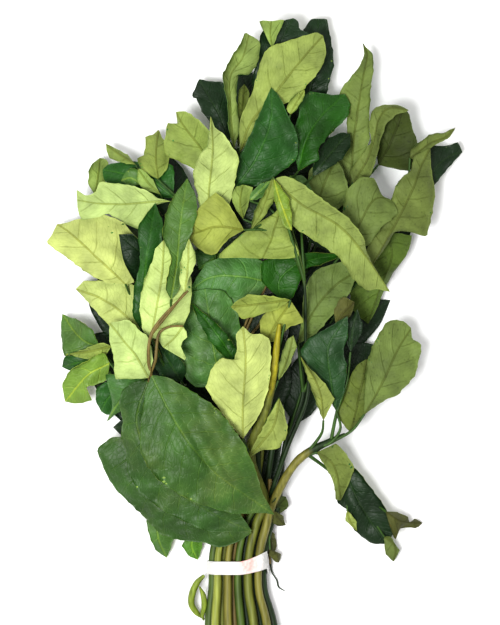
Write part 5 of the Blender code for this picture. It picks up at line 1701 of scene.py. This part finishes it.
def tie_faces():
    """Both faces of the band, and the two narrow edges that close it."""
    faces = []
    count = TIE_STEPS * TIE_ACROSS
    for i in range(TIE_STEPS):
        here, there = i * TIE_ACROSS, (i + 1) % TIE_STEPS * TIE_ACROSS
        for j in range(TIE_ACROSS - 1):
            a, b, c, d = here + j, there + j, there + j + 1, here + j + 1
            faces += [(a, b, c, d), (d + count, c + count, b + count, a + count)]
        for j, order in ((0, 1), (TIE_ACROSS - 1, -1)):
            a, b = here + j, there + j
            faces.append((a, a + count, b + count, b)[::order])
    return faces


tie_mesh = bpy.data.meshes.new("tie_strip")
tie_mesh.from_pydata(wind_tie(tie_ring).tolist(), [], tie_faces())
tie_mesh.shade_smooth()
tie = bpy.data.objects.new("tie_strip", tie_mesh)
bpy.context.scene.collection.objects.link(tie)
print("tie strip:", len(tie.data.polygons), "faces")

# %% [markdown]
# ## Tie material
# Thin white polythene is bright and slightly glossy, with fine creases 2 to 3 mm apart. The pink
# mark is a round spot on its upper face that fades outwards and is broken up by the same creases.

# %% Paint the tie
TIE_CREASE = 2.86 * MM
TIE_RELIEF = 0.5 * MM
STAIN_MIDDLE = (8.5 * MM, 2.0 * MM)
STAIN_FADES = (1 * MM, 11 * MM)
TIE_WHITE = "#D0CFCD"
TIE_PINK = "#D88C80"

tie_plastic = bpy.data.materials.new("tie_white_polythene")
tie_plastic.use_nodes = True
tree = tie_plastic.node_tree
shader = tree.nodes["Principled BSDF"]
body = add(tree, "ShaderNodeTexCoord").outputs["Object"]
crease = noise(tree, body, TIE_CREASE, 3.0)
shift = {"Vector": body, "Location": (-STAIN_MIDDLE[0], -STAIN_MIDDLE[1], 0), "Scale": (1, 1, 0)}
flat = add(tree, "ShaderNodeMapping", shift).outputs[0]
away = add(tree, "ShaderNodeVectorMath", {0: flat}, operation="LENGTH").outputs["Value"]
broken = maths(tree, "MULTIPLY", crease, 1.3)
stain = maths(tree, "MULTIPLY", falling(tree, away, *STAIN_FADES), broken)
stained = add(tree, "ShaderNodeMix", data_type="RGBA")
tree.links.new(stain, stained.inputs[0])
stained.inputs[6].default_value = (*linear(TIE_WHITE), 1)
stained.inputs[7].default_value = (*linear(TIE_PINK), 1)
tree.links.new(stained.outputs[2], shader.inputs["Base Color"])
bump = add(tree, "ShaderNodeBump", {"Strength": 0.8, "Distance": TIE_RELIEF, "Height": crease})
tree.links.new(bump.outputs[0], shader.inputs["Normal"])
shader.inputs["Roughness"].default_value = 0.45
shader.inputs["IOR"].default_value = 1.5
tie.data.materials.append(tie_plastic)
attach(tie, "root")
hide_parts("tie_band")
print("tie material:", tie_plastic.name)

# %% [markdown]
# ## The surface, the light and the camera
# The bunch lies on a bright white surface in soft light from the left. The camera looks straight
# down through a long lens, so that nothing at the edge leans outwards.

# %% Surface
FLOOR = 3.0
bpy.ops.mesh.primitive_plane_add(size=FLOOR, location=(0, 0.16, 0))
floor = bpy.context.object
floor.name = "pale_surface"
# White board with a dull finish
paint = bpy.data.materials.new("white_surface")
paint.use_nodes = True
board = paint.node_tree.nodes["Principled BSDF"]
board.inputs["Base Color"].default_value = (0.93, 0.93, 0.94, 1)
board.inputs["Roughness"].default_value = 0.7
floor.data.materials.append(paint)
print("surface:", FLOOR, "m wide")

# %% Lights
# The plain Standard view with some more contrast keeps the whites white and the greens deep
scene = bpy.context.scene
scene.world = scene.world or bpy.data.worlds.new("soft_world")
scene.world.use_nodes = True
world_nodes = scene.world.node_tree.nodes
sky = world_nodes.get("Background") or world_nodes.new("ShaderNodeBackground")
sky.inputs[0].default_value = (1.0, 0.985, 0.96, 1)
sky.inputs[1].default_value = 0.48
scene.view_settings.view_transform = "Standard"
scene.view_settings.look = "Medium High Contrast"
MIDDLE = (0, 0.15, 0)


def soft_light(name, place, size, power):
    """A square lamp that faces the middle of the bunch. Size in metres, power in watts."""
    data = bpy.data.lights.new(name, "AREA")
    data.size = size
    data.energy = power
    lamp = bpy.data.objects.new(name, data)
    scene.collection.objects.link(lamp)
    lamp.location = place
    aim = np.array(MIDDLE) - np.array(place)
    tilt = math.atan2(math.hypot(aim[0], aim[1]), -aim[2])
    lamp.rotation_euler = (tilt, 0, math.atan2(aim[0], -aim[1]) + math.pi)
    print(name, power, "W")


soft_light("window_left", (-0.42, -0.1, 1.6), 0.55, 27)
soft_light("fill_top", (0.3, 0.9, 1.6), 1.4, 8)

# %% Camera
# The frame in plan steps, and the height at which the plan's scale is true
FRAME_STEPS = (500, 625)
FRAME_MIDDLE = on_plan([(FRAME_STEPS[0] / 2, FRAME_STEPS[1] / 2)])[0]
CAMERA_HIGH = 2.2
SHARP_PLANE = 0.025
camera_data = bpy.data.cameras.new("camera")
camera_data.sensor_fit = "VERTICAL"
camera_data.sensor_height = 24.0
tall = FRAME_STEPS[1] * PLAN_STEP
camera_data.lens = camera_data.sensor_height * (CAMERA_HIGH - SHARP_PLANE) / tall
camera = bpy.data.objects.new("camera", camera_data)
scene.collection.objects.link(camera)
camera.location = (FRAME_MIDDLE[0], FRAME_MIDDLE[1], CAMERA_HIGH)
scene.camera = camera
print("lens", round(camera_data.lens), "mm, frame", round(tall / MM), "mm tall")
